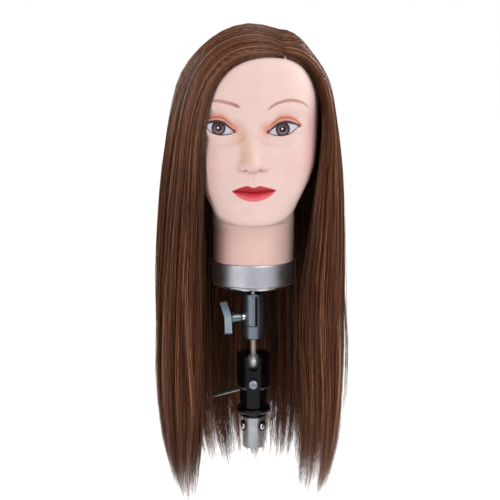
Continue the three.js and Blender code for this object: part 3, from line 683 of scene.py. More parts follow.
def on_clamp(piece, lying=False):
    """Moves a piece built along Z, or one lying along X, to the clamping screw's place."""
    if not lying:
        moved(piece, turn("Y", 90))
    return moved(piece, turn("Z", CLAMP_SWING), shift(0, 0, CLAMP_HEIGHT))


def clamp_screw():
    profile = [(3.1, 8.7), (3.4, 8.7), (3.4, 10.9), (4.4, 10.9), (4.4, 13.4), (3.1, 13.4)]
    bush = on_clamp(lathe("bush", profile, 0.25, 72))
    place(bush, "chrome", "receiver", "chrome", "clamp_bush")
    profile = [(0, 9.5), (2.9, 9.5), (2.9, 14.2), (4.6, 14.2), (5.4, 15.2), (5.4, 24.4), (4.9, 25.4)]
    hub = on_clamp(lathe("hub", profile + [(2.4, 25.4), (2.4, 29.4), (0, 29.4)], 0.35, 72))
    place(hub, "cast", "screw", "cast_alloy", "clamp_screw")


def clamp_handle():
    """Two flat arms that meet at a shallow bend over the hub."""
    half_width, half_length, half_thick, bend = 4.6, 17.5, 3.5, math.radians(8)
    sine, cosine = math.sin(bend), math.cos(bend)
    end = Vector((sine * half_length, cosine * half_length))
    across = Vector((cosine * half_width, -sine * half_width))
    inner, outer, mitre = end - across, end + across, half_width / cosine
    outline = [(outer.x, outer.y), (mitre, 0), (outer.x, -outer.y)]
    outline += [(inner.x, -inner.y), (-mitre, 0), (inner.x, inner.y)]
    bar = prism("handle", outline, -half_thick, half_thick)
    bevel(bar, 0.9, 4, 30)
    moved(bar, turn("X", 30), shift(29.3, 0, 0))
    rooms = [moved(peg(radius, 0, high), turn("Y", 90)) for radius, high in ((11.4, 25.7), (2.7, 29.7))]
    boolean(bar, "DIFFERENCE", rooms)
    shade(bar.data)
    place(on_clamp(bar, lying=True), "cast", "screw", "cast_alloy", "clamp_handle")


# ------------------------------------------------------------------ base of the head


def spigot():
    """The shank is painted dark where it sits in the receiver, as painted shade for the receiver's inside,
    and is bright above it.
    """
    shank = lathe("shank", [(0, 129.5), (6.9, 129.5), (7.9, 131), (7.9, 169.2), (0, 169.2)], 0.35, 96)
    place(shank, "shank", "head", "chrome", "spigot")
    profile = [(0, 168), (7.6, 168), (7.6, 169.4), (3.8, 170.4), (3.8, 174), (9.5, 176), (9.5, 179.5)]
    profile += [(4.8, 179.5), (4.8, 205.4), (4.2, 206), (0, 206)]
    place(lathe("stud", profile, 0.35, 96), "chrome", "head", "chrome")


def base_plate():
    profile = [(5.1, 179.8), (40.6, 179.8), (42.3, 181.4), (42.3, 182.5), (41.5, 183.1), (38.8, 183.1)]
    profile += [(38.8, 190), (35.4, 190), (35.4, 183.1), (5.1, 183.1)]
    place(lathe("plate", profile, 0.3, 160), "chrome", "head", "chrome", "base_plate")
    for index in range(3):
        screw = moved(screw_along_x(f"plate_screw_{index + 1}", 3.9, 2.0, 1.3), turn("Y", 90))
        moved(screw, shift(27, 0, 179.6), turn("Z", 120 * index))
        place(screw, "steel", "head", "steel", f"base_screw_{index + 1}")


def neck_band():
    profile = [(42.9, 183.4), (43.3, 183.4), (44, 184.2), (44, 205.2), (43.6, 206.2)]
    profile += [(43.1, 206.6), (42.9, 206.6)]
    place(lathe("band", profile, 0.3, 192), "band", "head", "silver_band", "neck_band")


# Pieces inside the assembly keep their CAD shape and get a real finish.
HIDDEN_FINISHES = {
    "ball_seat": "nylon",
    "clamp_pad": "nylon",
    "spigot_washer": "steel",
    "spigot_nut": "steel",
    "neck_socket": "plastic",
}


def hidden_parts():
    for name, finish in HIDDEN_FINISHES.items():
        for material_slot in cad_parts[name].material_slots:
            material_slot.material = MATERIALS[finish]


stand_tube()
tube_screws()
base_collar()
housing_half("housing_front_shell", "housing_front", -40, -0.5)
housing_half("housing_rear_shell", "housing_rear", 0.5, 40)
clamp_bolt()
lock_lever()
lever_nut_and_washer()
tilt_ball_and_rod()
receiver_barrel()
clamp_screw()
clamp_handle()
spigot()
base_plate()
neck_band()
hidden_parts()


# ------------------------------------------------------------------ head surface

# Height, half width, front, back of the head's horizontal sections.
HEAD_SECTIONS = [
    (177.5, 42.4, -42.4, 42.4),
    (212, 42.4, -42.4, 42.4),
    (228, 42.6, -43, 46),
    (242, 42.6, -46, 53),
    (246, 42.6, -50, 55),
    (249, 42.6, -63, 57),
    (251, 43, -72.5, 58),
    (255, 44.5, -78, 60),
    (263, 48.5, -81, 65),
    (285, 58, -85, 77),
    (310, 64.5, -84.5, 87),
    (345, 67, -83, 92),
    (375, 67.5, -86.5, 92),
    (400, 63, -81, 86),
    (420, 52, -66, 72),
    (434, 34, -44, 50),
    (441, 15, -20, 26),
    (443, 3, -4, 6),
]
SQUARENESS = 2.12
EYE_AXIS = -2.3
EYE_LIFT_LEFT = 0.6
EYE_CENTRE = (28.75, 344.6)
EYE_RADII = (16, 8.6)
EYE_WHITE = "#d9d4e3"
PUPIL_RIGHT = (27.6, 344.4)
PUPIL_LEFT = (-33.4, 345.4)

# The right eye's opening and the fold above it, as x and height; the left eye mirrors them about EYE_AXIS.
LID_UPPER = [(14.5, 341.5), (18.5, 345), (24, 349), (31, 350.5), (37, 349.5), (43, 347)]
LID_LOWER = [(14.5, 341.5), (17.5, 339.5), (26, 338.5), (34, 340), (43, 347)]
CREASE = [(13.5, 345), (21, 351.5), (26, 354.5), (31, 355), (38, 353.5), (46.5, 347)]
# How far the nose stands out at each height, and how wide it is there.
NOSE_RIDGE = [(301.7, 0), (303.7, 1.5), (305.7, 6.5), (307.7, 12.5), (309.7, 15.6), (312.7, 17)]
NOSE_RIDGE += [(317, 14.8), (325, 10.2), (335, 6), (343, 3.2), (350, 1.3), (358, 0)]
NOSE_WIDTH = [(300, 9), (309, 9.6), (314, 9), (322, 8.6), (335, 8.2), (345, 8.6), (358, 11)]
# The lips' upper edge, the line between them and their lower edge.
LIP_TOP = [(-21, 286), (-12, 290), (-6, 291.5), (0, 290), (6, 291.5), (13, 290), (22, 287)]
LIP_LINE = [(-21, 286), (-11, 285.5), (0, 284.5), (11, 285.5), (22, 287)]
LIP_BOTTOM = [(-21, 286), (-15, 281), (-7, 277.5), (1, 276.5), (8, 278), (15, 281), (22, 287)]


def section_at(z):
    """Half width, centre and half depth of the head at a height."""
    half, front, back = (curve(HEAD_SECTIONS, z, column) for column in (1, 2, 3))
    return half, (front + back) / 2, (back - front) / 2


def eye_side(x):
    """A point's x as if it were on the right eye's side, and which side it is on."""
    side = np.where(x > EYE_AXIS, 1.0, -1.0)
    return np.where(side > 0, x, 2 * EYE_AXIS - x), side


def eye_depth(x, z):
    """How far forward (as y) the eye insert's surface is."""
    across, height = x - EYE_CENTRE[0], z - EYE_CENTRE[1]
    return -75.6 + 0.3 * across + across**2 / np.where(across > 0, 36, 58) + height**2 / 32


def lid_distances(x, z):
    """Distance outside the eye's opening, height over its upper edge and drop under its lower edge."""
    right, side = eye_side(x)
    level = z - np.where(side < 0, EYE_LIFT_LEFT, 0)
    inside = np.clip(right, LID_UPPER[0][0], LID_UPPER[-1][0])
    above = level - curve(LID_UPPER, inside)
    below = curve(LID_LOWER, inside) - level
    outside = np.hypot(right - inside, np.maximum(np.maximum(above, below), 0))
    return outside, above, below, right, level


def nose_centre(z):
    return -0.6 - 1.7 * smooth(312, 345, z)


def face_relief(x, z):
    """How far the face stands forward of the plain section."""
    middle = nose_centre(z)
    width = curve(NOSE_WIDTH, z)
    lift = curve(NOSE_RIDGE, z) * ridge(x - middle, width)
    for side in (-1, 1):
        lift = lift + 4.2 * hill(x, z, middle + side * 10.5, 310.2, 4.0, 4.2)
        lift = lift - 2.6 * hill(x, z, middle + side * 6, 305.8, 2.6, 1.7)
        lift = lift + 1.6 * hill(x, z, EYE_AXIS + side * 34, 366, 20, 6)
        lift = lift + 1.8 * hill(x, z, EYE_AXIS + side * 38, 320, 17, 16)
        lift = lift + 0.45 * hill(x, z, middle + side * 3.6, 296, 1.8, 5)
    lift = lift - 0.8 * hill(x, z, middle, 296.5, 2.0, 5)
    lift = lift + 3.2 * hill(x, z, 0, 284, 21, 13) + 1.2 * hill(x, z, 0, 259, 16, 8)
    lift = lift - 2.0 * hill(x, z, 0, 269.5, 16, 4.5)
    return lift + lip_relief(x, z)


def lip_relief(x, z):
    top, line, bottom = (curve(t, x) for t in (LIP_TOP, LIP_LINE, LIP_BOTTOM))
    inside = smooth(-22.5, -17, x) * smooth(23.5, 18, x)
    upper = np.clip((z - line) / np.maximum(top - line, 0.8), 0, 1.6)
    lower = np.clip((line - z) / np.maximum(line - bottom, 0.8), 0, 1.6)
    full_upper = 1.2 * np.sin(math.pi * np.clip(upper, 0, 1)) ** 0.8
    full_lower = 2.1 * np.sin(math.pi * np.clip(lower * 0.95, 0, 1)) ** 0.8
    groove = 0.9 * ridge(z - line, 1.1)
    rim = 0.5 * ridge(upper - 1.12, 0.2) + 0.5 * ridge(lower - 1.1, 0.12)
    return inside * (full_upper * (z > line) + full_lower * (z <= line) - groove + rim)


def skin_surface(z, angle):
    """Points of the skin for arrays of heights and angles (-90 degrees is the front)."""
    half, centre, depth = section_at(z)
    cosine, sine = np.cos(angle), np.sin(angle)
    power = 2 / SQUARENESS
    x = half * np.sign(cosine) * np.abs(cosine) ** power
    y = centre + depth * np.sign(sine) * np.abs(sine) ** power
    front = smooth(0.05, 0.45, -sine)
    rise = np.where(sine < 0, cosine**2, 1 - 0.4 * sine**2)
    height = z + 11.5 * rise * smooth(236, 249.5, z) * smooth(335, 258, z)
    y = y - front * face_relief(x, height)
    outside, above, below, right, level = lid_distances(x, height)
    lid = eye_depth(right, level) - 1.1
    fold = level - curve(CREASE, right)
    crease = 0.6 * ridge(fold, 0.7) * smooth(13, 18, right) * smooth(48, 43, right)
    wrap = front * smooth(14, 1.5, outside)
    y = y + (lid - y) * wrap + crease * front
    opening = front * smooth(0.3, -0.1, np.maximum(above, below) + (outside > 0) * 9)
    y = np.where(opening > 0.5, eye_depth(right, level) + 1.6, y)
    return x, y, height


def stroke(x, z, points, soft):
    """Strength of a painted stroke along points of x, height and thickness."""
    slope = curve(points, x + 0.5) - curve(points, x - 0.5)
    width = curve(points, x, 2)
    away = np.abs(z - curve(points, x)) / np.sqrt(1 + slope**2)
    first, last = points[0][0], points[-1][0]
    ends = smooth(first - 1, first + 2.5, x) * smooth(last + 1, last - 2.5, x)
    return smooth(width / 2 + soft, width / 2 - soft, away) * ends


# The brows: x, height and thickness.
BROW_RIGHT = [(13, 363, 1.6), (23, 369, 2.7), (35, 371.5, 2.9), (46, 369.5, 2.1), (54, 364, 0.7)]
BROW_LEFT = [(-57, 362, 0.7), (-46, 369.5, 2.1), (-36, 371, 2.8), (-24, 369, 3.2), (-12.5, 365, 2.6)]


class Coat:
    """The colours of an array of points, with paints laid over them one after the other."""

    def __init__(self, shape, code):
        self.colour = np.ones(shape + (3,)) * linear(code)

    def over(self, code, amount):
        self.colour = mixed(self.colour, linear(code), np.clip(amount, 0, 1))


def paint_skin(x, z, y):
    """The vinyl's own colour with the painted make-up, painted shade and painted highlights over it, and
    where it shines more.
    """
    coat = Coat(x.shape, "#f1d1c8")
    front = smooth(-5, -35, y)
    paint_complexion(x, z, front, coat.over)
    paint_eyes_and_brows(x, z, front, coat.over)
    return paint_lips(x, z, front, coat.colour)


def paint_complexion(x, z, front, over):
    """The neck's flush, the cheeks and the nose's contour, with painted shade on the neck's left, the face's
    sides, along the jaw's line under the chin, along the nose's left side, at its wings and nostrils and
    under its tip.
    """
    edge = np.abs(x)
    over("#eab9ad", 0.45 * smooth(250, 238, z))
    # Painted shade: the neck's left side is darker and redder under the hair.
    over("#c97f73", 0.65 * smooth(248, 238, z) * smooth(-20, -41, x))
    # The face's sides: blush make-up and painted shade where the face turns away from the light.
    over("#dba097", 0.75 * smooth(44, 63, edge) * smooth(380, 340, z) * smooth(250, 275, z))
    # Painted shade: the left cheek is darker beside the hair.
    over("#e2ab9f", 0.5 * smooth(-30, -46, x) * smooth(350, 320, z) * smooth(250, 275, z))
    over("#e9b8ab", 0.35 * (hill(x, z, 44, 312, 15, 18) + hill(x, z, -47, 312, 15, 18)))
    # Painted shade: a darker line along the underside of the chin.
    over("#b98373", 0.55 * ridge(z - 249.2, 1.3) * smooth(40, 30, edge) * front)

    nose = nose_centre(z)
    # The nose's left side: contour make-up and painted shade on the side away from the light.
    over("#e3ae88", 0.45 * ridge(x - nose + 9.2, 4.6) * smooth(306, 316, z) * smooth(351, 336, z))
    over("#ecc3a2", 0.35 * ridge(x - nose + 3, 4.5) * smooth(308, 316, z) * smooth(352, 338, z))
    # Painted shade at the right nose wing.
    over("#e3b3a0", 0.4 * ridge(x - nose - 9, 2.8) * smooth(305, 309, z) * smooth(322, 314, z))
    # Painted shade in the nostrils and in the creases beside the nose's wings.
    for side in (-1, 1):
        rim = 306.2 - 0.25 * np.abs(x - nose - side * 6)
        over("#8d5b48", 0.85 * hill(x, z, nose + side * 7.4, rim, 2.8, 0.9))
        over("#c99380", 0.6 * hill(x, z, nose + side * 12.2, 306, 2.2, 1.6))
    # Painted shadow under the nose's tip.
    over("#c58f7c", 0.55 * hill(x, z, nose, 303.8, 5.5, 1.4))


def paint_eyes_and_brows(x, z, front, over):
    """The shadow on the lids, the fold over the eye, the eye-liner and the brows."""
    outside, above, below, right, level = lid_distances(x, z)
    along = smooth(11, 17, right) * smooth(50, 43, right)
    crease = level - curve(CREASE, right)
    over("#e79a80", 0.85 * smooth(6.5, -0.5, crease) * smooth(-1, 1.2, above) * along * front)
    over("#cd7459", 0.6 * ridge(crease - 0.7, 1.6) * along * front)
    over("#de8a70", 0.8 * hill(right, level, 13.0, 344.2, 4.6, 5.6) * smooth(0, 0.8, outside) * front)
    over("#e6a593", 0.8 * smooth(0.2, 0.9, above) * smooth(0.2, -0.8, crease) * along * front)
    over("#9d4f42", 0.85 * ridge(crease, 0.5) * smooth(14, 18, right) * smooth(48, 44, right) * front)
    over("#4a2130", smooth(2.5, 1.8, above) * smooth(-1.5, -1, above) * smooth(2.9, 1.5, outside) * front)
    lower = smooth(0.95, 0.45, below) * smooth(-1.5, -1, below) * smooth(1.6, 0.6, outside)
    over("#6a3f4a", 0.9 * lower * front)

    over("#b77866", 0.82 * stroke(x, z, BROW_RIGHT, 0.75) * front)
    over("#b56f58", (0.7 + 0.25 * smooth(-26, -15, x)) * stroke(x, z, BROW_LEFT, 0.75) * front)


def paint_lips(x, z, front, colour):
    """The colours with the lips painted over them, a painted highlight on the lower lip and painted shade
    where the lips meet, and the lips' extra shine.
    """
    top, line, bottom = (curve(t, x) for t in (LIP_TOP, LIP_LINE, LIP_BOTTOM))
    within = smooth(-22, -20.2, x) * smooth(23, 21.2, x) * front
    lips = within * smooth(-0.25, 0.25, top - z) * smooth(-0.25, 0.25, z - bottom)
    rim = within * smooth(1.9, 0.9, np.maximum(z - top, bottom - z)) * (1 - lips)
    colour = mixed(colour, linear("#f6d3c8"), 0.8 * rim)
    drop = np.clip((line - z) / np.maximum(line - bottom, 0.8), 0, 1)
    # A painted highlight: the lower lip is lighter over its full part.
    lower_tone = mixed(linear("#d63848"), linear("#f0707a"), smooth(0.25, 0.8, drop))
    lower_tone = mixed(lower_tone, linear("#cf4350"), 0.7 * smooth(0.86, 1, drop))
    rise = np.clip((z - line) / np.maximum(top - line, 0.8), 0, 1)
    upper_tone = mixed(linear("#b01a27"), linear("#cf4050"), smooth(0.45, 1, rise))
    tone = mixed(lower_tone, upper_tone, smooth(-0.3, 0.3, z - line))
    # Painted shade: a dark line where the lips meet.
    tone = mixed(tone, linear("#7c0e18"), 0.55 * ridge(z - line, 0.55))
    return mixed(colour, tone, lips), 0.14 * lips


def set_paint(mesh, colour, shine):
    """Stores a colour and a shine for each point of a mesh."""
    count = len(mesh.vertices)
    paint = mesh.color_attributes.new("paint", "FLOAT_COLOR", "POINT")
    values = np.ones((count, 4), np.float32)
    values[:, :3] = np.clip(colour.reshape(-1, 3), 0, 1)
    paint.data.foreach_set("color", values.ravel())
    gloss = mesh.attributes.new("gloss", "FLOAT", "POINT")
    gloss.data.foreach_set("value", np.asarray(shine, np.float32).ravel())


def head_skin():
    """A grid over the head that is finest over the face, closed at the top and turned in at the neck."""
    front = np.linspace(-math.pi, 0, 300, endpoint=False)
    back = np.linspace(0, math.pi, 64, endpoint=False)
    angles = np.concatenate([front, back])
    heights = np.concatenate([
        [183.5],
        np.arange(186, 240, 3.0),
        np.arange(240, 272, 0.8),
        np.arange(272, 294, 0.55),
        np.arange(294, 334, 0.7),
        np.arange(334, 376, 0.55),
        np.arange(376, 412, 1.5),
        np.arange(412, 443, 2.5),
        [442.7],
    ])
    z, angle = np.meshgrid(heights, angles, indexing="ij")
    x, y, height = skin_surface(z, angle)
    colour, shine = paint_skin(x, height, y)
    points = np.stack([x, y, height], axis=-1).reshape(-1, 3)
    count = len(angles)
    faces = grid_faces(len(heights), count, around=True)
    rim = inner_wall(points, count, faces)
    faces.append(tuple(range(len(points) - count, len(points))))
    points = np.vstack([points, rim])
    colour = np.vstack([colour.reshape(-1, 3), np.tile(linear("#e3c0b2"), (len(rim), 1))])
    shine = np.concatenate([shine.ravel(), np.zeros(len(rim))])
    mesh = mesh_from("skin", points, faces, sharp=math.radians(75))
    set_paint(mesh, colour, shine)
    skin = attach(link("skin", mesh), "skin", "head")
    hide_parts("head_skin")


def foam_core():
    """Fills the head a little inside the skin, with a flat floor and a room for the neck's socket."""
    heights = np.concatenate([np.arange(191, 433, 3.0), [434]])
    angles = np.linspace(0, 2 * math.pi, 120, endpoint=False)
    z, angle = np.meshgrid(heights, angles, indexing="ij")
    x, y, height = skin_surface(z, angle)
    middle = section_at(z)[1]
    inset = 1 - 6.5 / np.maximum(np.hypot(x, y - middle), 20)
    points = np.stack([x * inset, middle + (y - middle) * inset, height], axis=-1).reshape(-1, 3)
    faces = grid_faces(len(heights), len(angles), around=True)
    faces.append(tuple(range(len(points) - len(angles), len(points))))
    faces.append(tuple(reversed(range(len(angles)))))
    core = link("foam_filling", mesh_from("foam_filling", points, faces))
    boolean(core, "DIFFERENCE", [peg(15.8, 150, 222.3, 64)])
    shade(core.data)
    place(core, "foam", "head", "foam", "foam_core")


def inner_wall(points, count, faces):
    """Turns the neck's open edge in by the skin's thickness and up inside."""
    wall, rise = 3.0, 40.0
    edge = points[:count]
    length = np.hypot(edge[:, 0], edge[:, 1])[:, None]
    inward = np.hstack([edge[:, :2] / length * (length - wall), edge[:, 2:]])
    inside = inward + [0, 0, rise]
    start = len(points)
    for i in range(count):
        j = (i + 1) % count
        faces.append((i, start + i, start + j, j))
        faces.append((start + i, start + count + i, start + count + j, start + j))
    return np.vstack([inward, inside])


# ------------------------------------------------------------------ eyes


def eye_colour(across, up, inner):
    """Iris, pupil, dark outer ring, white of the eye, painted shade under the upper lid and a painted
    catch-light, which is a painted reflection.
    """
    radius = np.hypot(across, up)
    angle = np.arctan2(up, across)
    coat = Coat(across.shape, EYE_WHITE)
    over = coat.over
    over("#e2b9bd", 0.8 * smooth(-9.5, -14, across * inner))
    # Painted shade: the white is darker under the upper lid.
    over("#b7adc4", 0.65 * smooth(2.5, 6, up))
    fibres = 0.5 + 0.3 * np.sin(angle * 23 + 1.1) + 0.2 * np.sin(angle * 41 + radius * 2)
    over("#6d5052", smooth(6.9, 6.4, radius))
    over("#38232a", 0.6 * fibres * smooth(6.2, 5.4, radius))
    over("#9b7f7e", 0.6 * smooth(1.5, -4.5, up) * smooth(5.9, 4.6, radius) * smooth(2.4, 3.6, radius))
    # Painted shade: the iris is darker under the upper lid.
    over("#180f14", 0.75 * smooth(0.5, 5, up) * smooth(6.6, 6.2, radius))
    over("#1c131f", smooth(5.3, 6.1, radius) * smooth(7.1, 6.6, radius))
    over("#0b0709", smooth(3.1, 2.2, radius))
    # A painted catch-light: a painted reflection of the lamp.
    over("#ffffff", smooth(1.0, 0.6, np.hypot((across + 0.5), (up - 0.3) * 0.85)))
    return coat.colour


def eye_insert(name, side, pupil, node_name):
    """An oval dome with its edge turned back and closed behind."""
    rings, around = 70, 120
    rho = np.linspace(0, 1, rings + 1)[1:]
    theta = np.linspace(0, 2 * math.pi, around, endpoint=False)
    r, t = np.meshgrid(rho, theta, indexing="ij")
    right = EYE_CENTRE[0] + EYE_RADII[0] * r * np.cos(t)
    level = EYE_CENTRE[1] + EYE_RADII[1] * r * np.sin(t)
    x = right if side > 0 else 2 * EYE_AXIS - right
    z = level + (EYE_LIFT_LEFT if side < 0 else 0)
    y = eye_depth(right, level)
    points = np.stack([x, y, z], axis=-1).reshape(-1, 3)
    edge = points[-around:] + [0, 3.5, 0]
    middle = np.array([[points[:, 0].mean(), eye_depth(*EYE_CENTRE), points[:, 2].mean()]])
    back = middle + [0, 12, 0]
    colour = eye_colour(points[:, 0] - pupil[0], points[:, 2] - pupil[1], side)
    centre_colour = eye_colour(middle[:, 0] - pupil[0], middle[:, 2] - pupil[1], side)
    plain = np.tile(linear(EYE_WHITE), (around + 1, 1))
    all_points = np.vstack([points, edge, middle, back])
    faces = grid_faces(rings + 1, around, around=True)
    centre, last = len(all_points) - 2, rings * around
    for i in range(around):
        j = (i + 1) % around
        faces.append((centre, j, i))
        faces.append((centre + 1, last + i, last + j))
    mesh = mesh_from(name, all_points, faces, sharp=math.pi)
    set_paint(mesh, np.vstack([colour, plain[:around], centre_colour, plain[:1]]), np.zeros(len(all_points)))
    eye = attach(link(name, mesh), "eye", "head")
    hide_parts(node_name)


def lid_rims(name, side):
    """The raised painted edges of the lids, thick above the eye and thin below it."""
    for part, edge, lift, thick in (("upper", LID_UPPER, 0.7, 1.1), ("lower", LID_LOWER, -0.25, 0.42)):
        across = np.linspace(edge[0][0], edge[-1][0], 60)
        level = curve(edge, across)
        along = np.linspace(0, 1, 60)
        radius = thick * (0.12 + 0.88 * np.sin(math.pi * along) ** 0.55)
        y = eye_depth(across, level) - 0.75
        x = across if side > 0 else 2 * EYE_AXIS - across
        z = level + lift + (EYE_LIFT_LEFT if side < 0 else 0)
        rim = tube(f"{name}_{part}", np.stack([x, y, z], axis=1), radius)
        attach(rim, "liner", "head")


# ------------------------------------------------------------------ hair

# Height, then how far the hair's outer surface reaches left, right, forward and back.
HAIR_COVER = [
    (448.6, 2, 2, 2, 2),
    (447, 12, 13, 16, 20),
    (443, 26, 27, 36, 40),
    (436, 39, 38, 54, 58),
    (425, 53, 52, 71, 75),
    (410, 66.5, 66.5, 83, 87),
    (392, 77, 77, 89, 96),
    (376, 81.5, 81.5, 88, 101),
    (345, 88, 86.5, 82, 103.5),
    (320, 92, 90, 77, 104),
    (296, 95.5, 92, 70, 104),
    (240, 99, 94, 66, 106),
    (178, 101, 95, 63, 105),
    (90, 101.5, 93, 61, 101),
    (11, 95, 89, 60, 98),
    (-30, 86, 83, 56, 95),
    (-62, 79, 77, 52, 92),
]
# The hair's inner surface where it hangs.
HAIR_LINING = [
    (300, 68, 68, 66, 92),
    (262, 76, 74, 62, 94),
    (235, 82, 78, 60, 94),
    (200, 88, 82, 58, 94),
    (170, 91, 85, 56, 93),
    (120, 95, 88, 54, 92),
    (11, 94, 85, 53, 87),
    (-62, 76, 66, 46, 80),
]
# Where the hair leaves the head, and its lowest ends.
HANG = 300.0
BOTTOM = -62.0
HAIR_TOP = 448.5
SKIN_TOP = 441
SKULL_RADIUS = 75.0
SCALP_GAP = 1.6
CROWN_POINTS = 16
HANG_POINTS = 16
RELAX_ROUNDS = 40
HAIR_BATCHES = 7
SKULL_CENTRE = np.array([-1.0, 0.0, 345.0])

# For each side: order from the face (0) to the middle of the back (1), and the strand's start on the
# parting, the corner it bends round, and nothing below that.
STARTS = [
    (0, 29.4, -64.8, 410.6),
    (0.12, 28.8, -60, 419),
    (0.25, 27.5, -48, 428),
    (0.4, 26, -30, 436),
    (0.6, 24, -5, 442),
    (0.8, 21, 22, 442),
    (1, 17, 40, 438),
]
CORNERS_LEFT = [
    (0, -52, -86, 422),
    (0.15, -72, -72, 440),
    (0.3, -88, -46, 450),
    (0.5, -97, -8, 452),
    (0.7, -85, 52, 452),
    (0.85, -45, 97, 450),
    (1, 6, 114, 448),
]
CORNERS_RIGHT = [
    (0, 79, -36, 400),
    (0.15, 90, -30, 426),
    (0.3, 97, -14, 440),
    (0.5, 98, 18, 446),
    (0.7, 82, 66, 448),
    (0.85, 52, 100, 448),
    (1, 14, 114, 448),
]
# The hair's front edge where it hangs: height, x, y.
EDGE_LEFT = [(300, -47, -61), (285, -48.5, -58), (262, -49, -54), (240, -49.5, -50), (200, -50.5, -46)]
EDGE_LEFT += [(170, -51.5, -44), (120, -53, -43), (60, -54, -42), (11, -57, -42)]
EDGE_LEFT += [(-30, -61, -40), (-62, -64, -36)]
EDGE_RIGHT = [(300, 63.5, -43), (285, 61.5, -45), (262, 58, -47), (240, 56.5, -48), (215, 53, -48)]
EDGE_RIGHT += [(200, 51, -47), (170, 48.5, -46), (120, 49, -44), (60, 52, -43), (11, 51, -42), (-30, 47, -40)]
EDGE_RIGHT += [(-62, 45, -36)]


def rows_at(table, order):
    """Points of a table at places between its rows."""
    return np.stack([curve(table, order, column) for column in (1, 2, 3)], axis=-1)


def reach(table, z, x, y):
    """The two semi-axes that a table gives at heights z on the side where x, y is."""
    across = np.where(x < 0, curve(table, z, 1), curve(table, z, 2))
    along = np.where(y < 0, curve(table, z, 3), curve(table, z, 4))
    return across, along


def on_cover(points):
    """Moves points out along rays from the skull's centre until they lie on the hair's outer surface."""
    ray = points - SKULL_CENTRE
    low, high = np.full(points.shape[:-1], 0.3), np.full(points.shape[:-1], 2.2)
    for _ in range(22):
        middle = (low + high) / 2
        trial = SKULL_CENTRE + ray * middle[..., None]
        across, along = reach(HAIR_COVER, trial[..., 2], trial[..., 0], trial[..., 1])
        outside = np.hypot(trial[..., 0] / across, trial[..., 1] / along) > 1
        outside |= trial[..., 2] > HAIR_TOP
        high = np.where(outside, middle, high)
        low = np.where(outside, low, middle)
    return SKULL_CENTRE + ray * low[..., None]


def off_skin(points, clearance):
    """Moves points that are nearer to the skin than clearance straight out from the head's axis."""
    x, y, z = points[..., 0], points[..., 1], points[..., 2]
    half, centre, depth = section_at(z)
    share = (np.abs(x / half) ** SQUARENESS + np.abs((y - centre) / depth) ** SQUARENESS) ** (1 / SQUARENESS)
    wanted = 1 + clearance / SKULL_RADIUS
    grow = np.where((share < wanted) & (z < SKIN_TOP), wanted / np.maximum(share, 0.2), 1)
    return np.stack([x * grow, centre + (y - centre) * grow, z], axis=-1)


def hanging_guides(side, order, open_edge):
    """The guide lines' lower parts, outer and inner, from where the hair leaves the head to its ends."""
    edge = EDGE_LEFT if side < 0 else EDGE_RIGHT
    heights = np.linspace(HANG, BOTTOM, HANG_POINTS + 1)
    edge_x, edge_y = curve(edge, heights, 1), curve(edge, heights, 2)
    across, along = reach(HAIR_COVER, heights, edge_x, edge_y)
    back_angle = math.radians(87 if side < 0 else 93)
    edge_angle = np.arctan2(edge_y / along, edge_x / across) + (2 * math.pi if side < 0 else 0)
    edge_share = np.hypot(edge_x / across, edge_y / along)
    angle = edge_angle[None] + (back_angle - edge_angle[None]) * order[:, None]
    share = edge_share[None] + (1 - edge_share[None]) * smooth(0, 0.16, order)[:, None]
    tall = np.broadcast_to(heights, angle.shape)
    outer, inner = (hang_points(t, tall, angle, share) for t in (HAIR_COVER, HAIR_LINING))
    return outer, outer + (inner - outer) * open_edge


def guides(side, count=61):
    """Outer and inner guide lines, from the front edge to the back: arrays of count x points x 3."""
    order = np.linspace(0, 1, count)
    open_edge = smooth(0, 0.22, order)[:, None, None]
    outer_hang, inner_hang = hanging_guides(side, order, open_edge)
    bends = CORNERS_LEFT if side < 0 else CORNERS_RIGHT
    start, corner = (rows_at(table, order) for table in (STARTS, bends))
    start[:, 0] += side * (0.5 + 0.7 * smooth(0.12, 0, order))
    t = np.linspace(0, 1, CROWN_POINTS)[None, :, None]
    bend = start[:, None] * (1 - t) ** 2 + 2 * t * (1 - t) * corner[:, None] + outer_hang[:, :1] * t * t
    lifted, hug = on_cover(bend), off_skin(bend, SCALP_GAP)
    weight = smooth(0.0, 0.24, order)[:, None, None] * smooth(-0.06, 0.12 if side < 0 else 0.4, t)
    outer = off_skin(hug + (lifted - hug) * weight, SCALP_GAP)
    inner = off_skin(SKULL_CENTRE + (outer - SKULL_CENTRE) * (1 - 0.13 * open_edge), 1.0)
    return joined(outer, outer_hang, order), joined(inner, inner_hang, order)


def joined(crown, hang, order):
    """Guide lines made of their upper and lower parts, eased into each other."""
    settle = smooth(0.8, 1.0, np.linspace(0, 1, CROWN_POINTS))[None, :, None]
    crown = crown + (hang[:, :1] - crown) * settle
    return relaxed(np.concatenate([crown[:, :-1], hang], axis=1), order)


def cover_share(points):
    """How far out points lie, as a share of the hair's outer surface at their height."""
    across, along = reach(HAIR_COVER, points[..., 2], points[..., 0], points[..., 1])
    return np.hypot(points[..., 0] / across, points[..., 1] / along)


def relaxed(lines, order):
    """Rounds off the turn where the hair leaves the head. The front edge and the thickness stay."""
    at = np.arange(lines.shape[1])
    window = smooth(CROWN_POINTS - 11, CROWN_POINTS - 5, at) * smooth(CROWN_POINTS + 9, CROWN_POINTS + 3, at)
    weight = 0.5 * window[None, 1:-1, None] * smooth(0.03, 0.22, order)[:, None, None]
    before = cover_share(lines)
    for _ in range(RELAX_ROUNDS):
        lines[:, 1:-1] += weight * ((lines[:, :-2] + lines[:, 2:]) / 2 - lines[:, 1:-1])
    lines[..., :2] *= (before / cover_share(lines))[..., None]
    return lines


def hang_points(table, z, angle, share):
    x, y = np.cos(angle), np.sin(angle)
    across, along = reach(table, z, x, y)
    return np.stack([x * across * share, y * along * share, z], axis=-1)


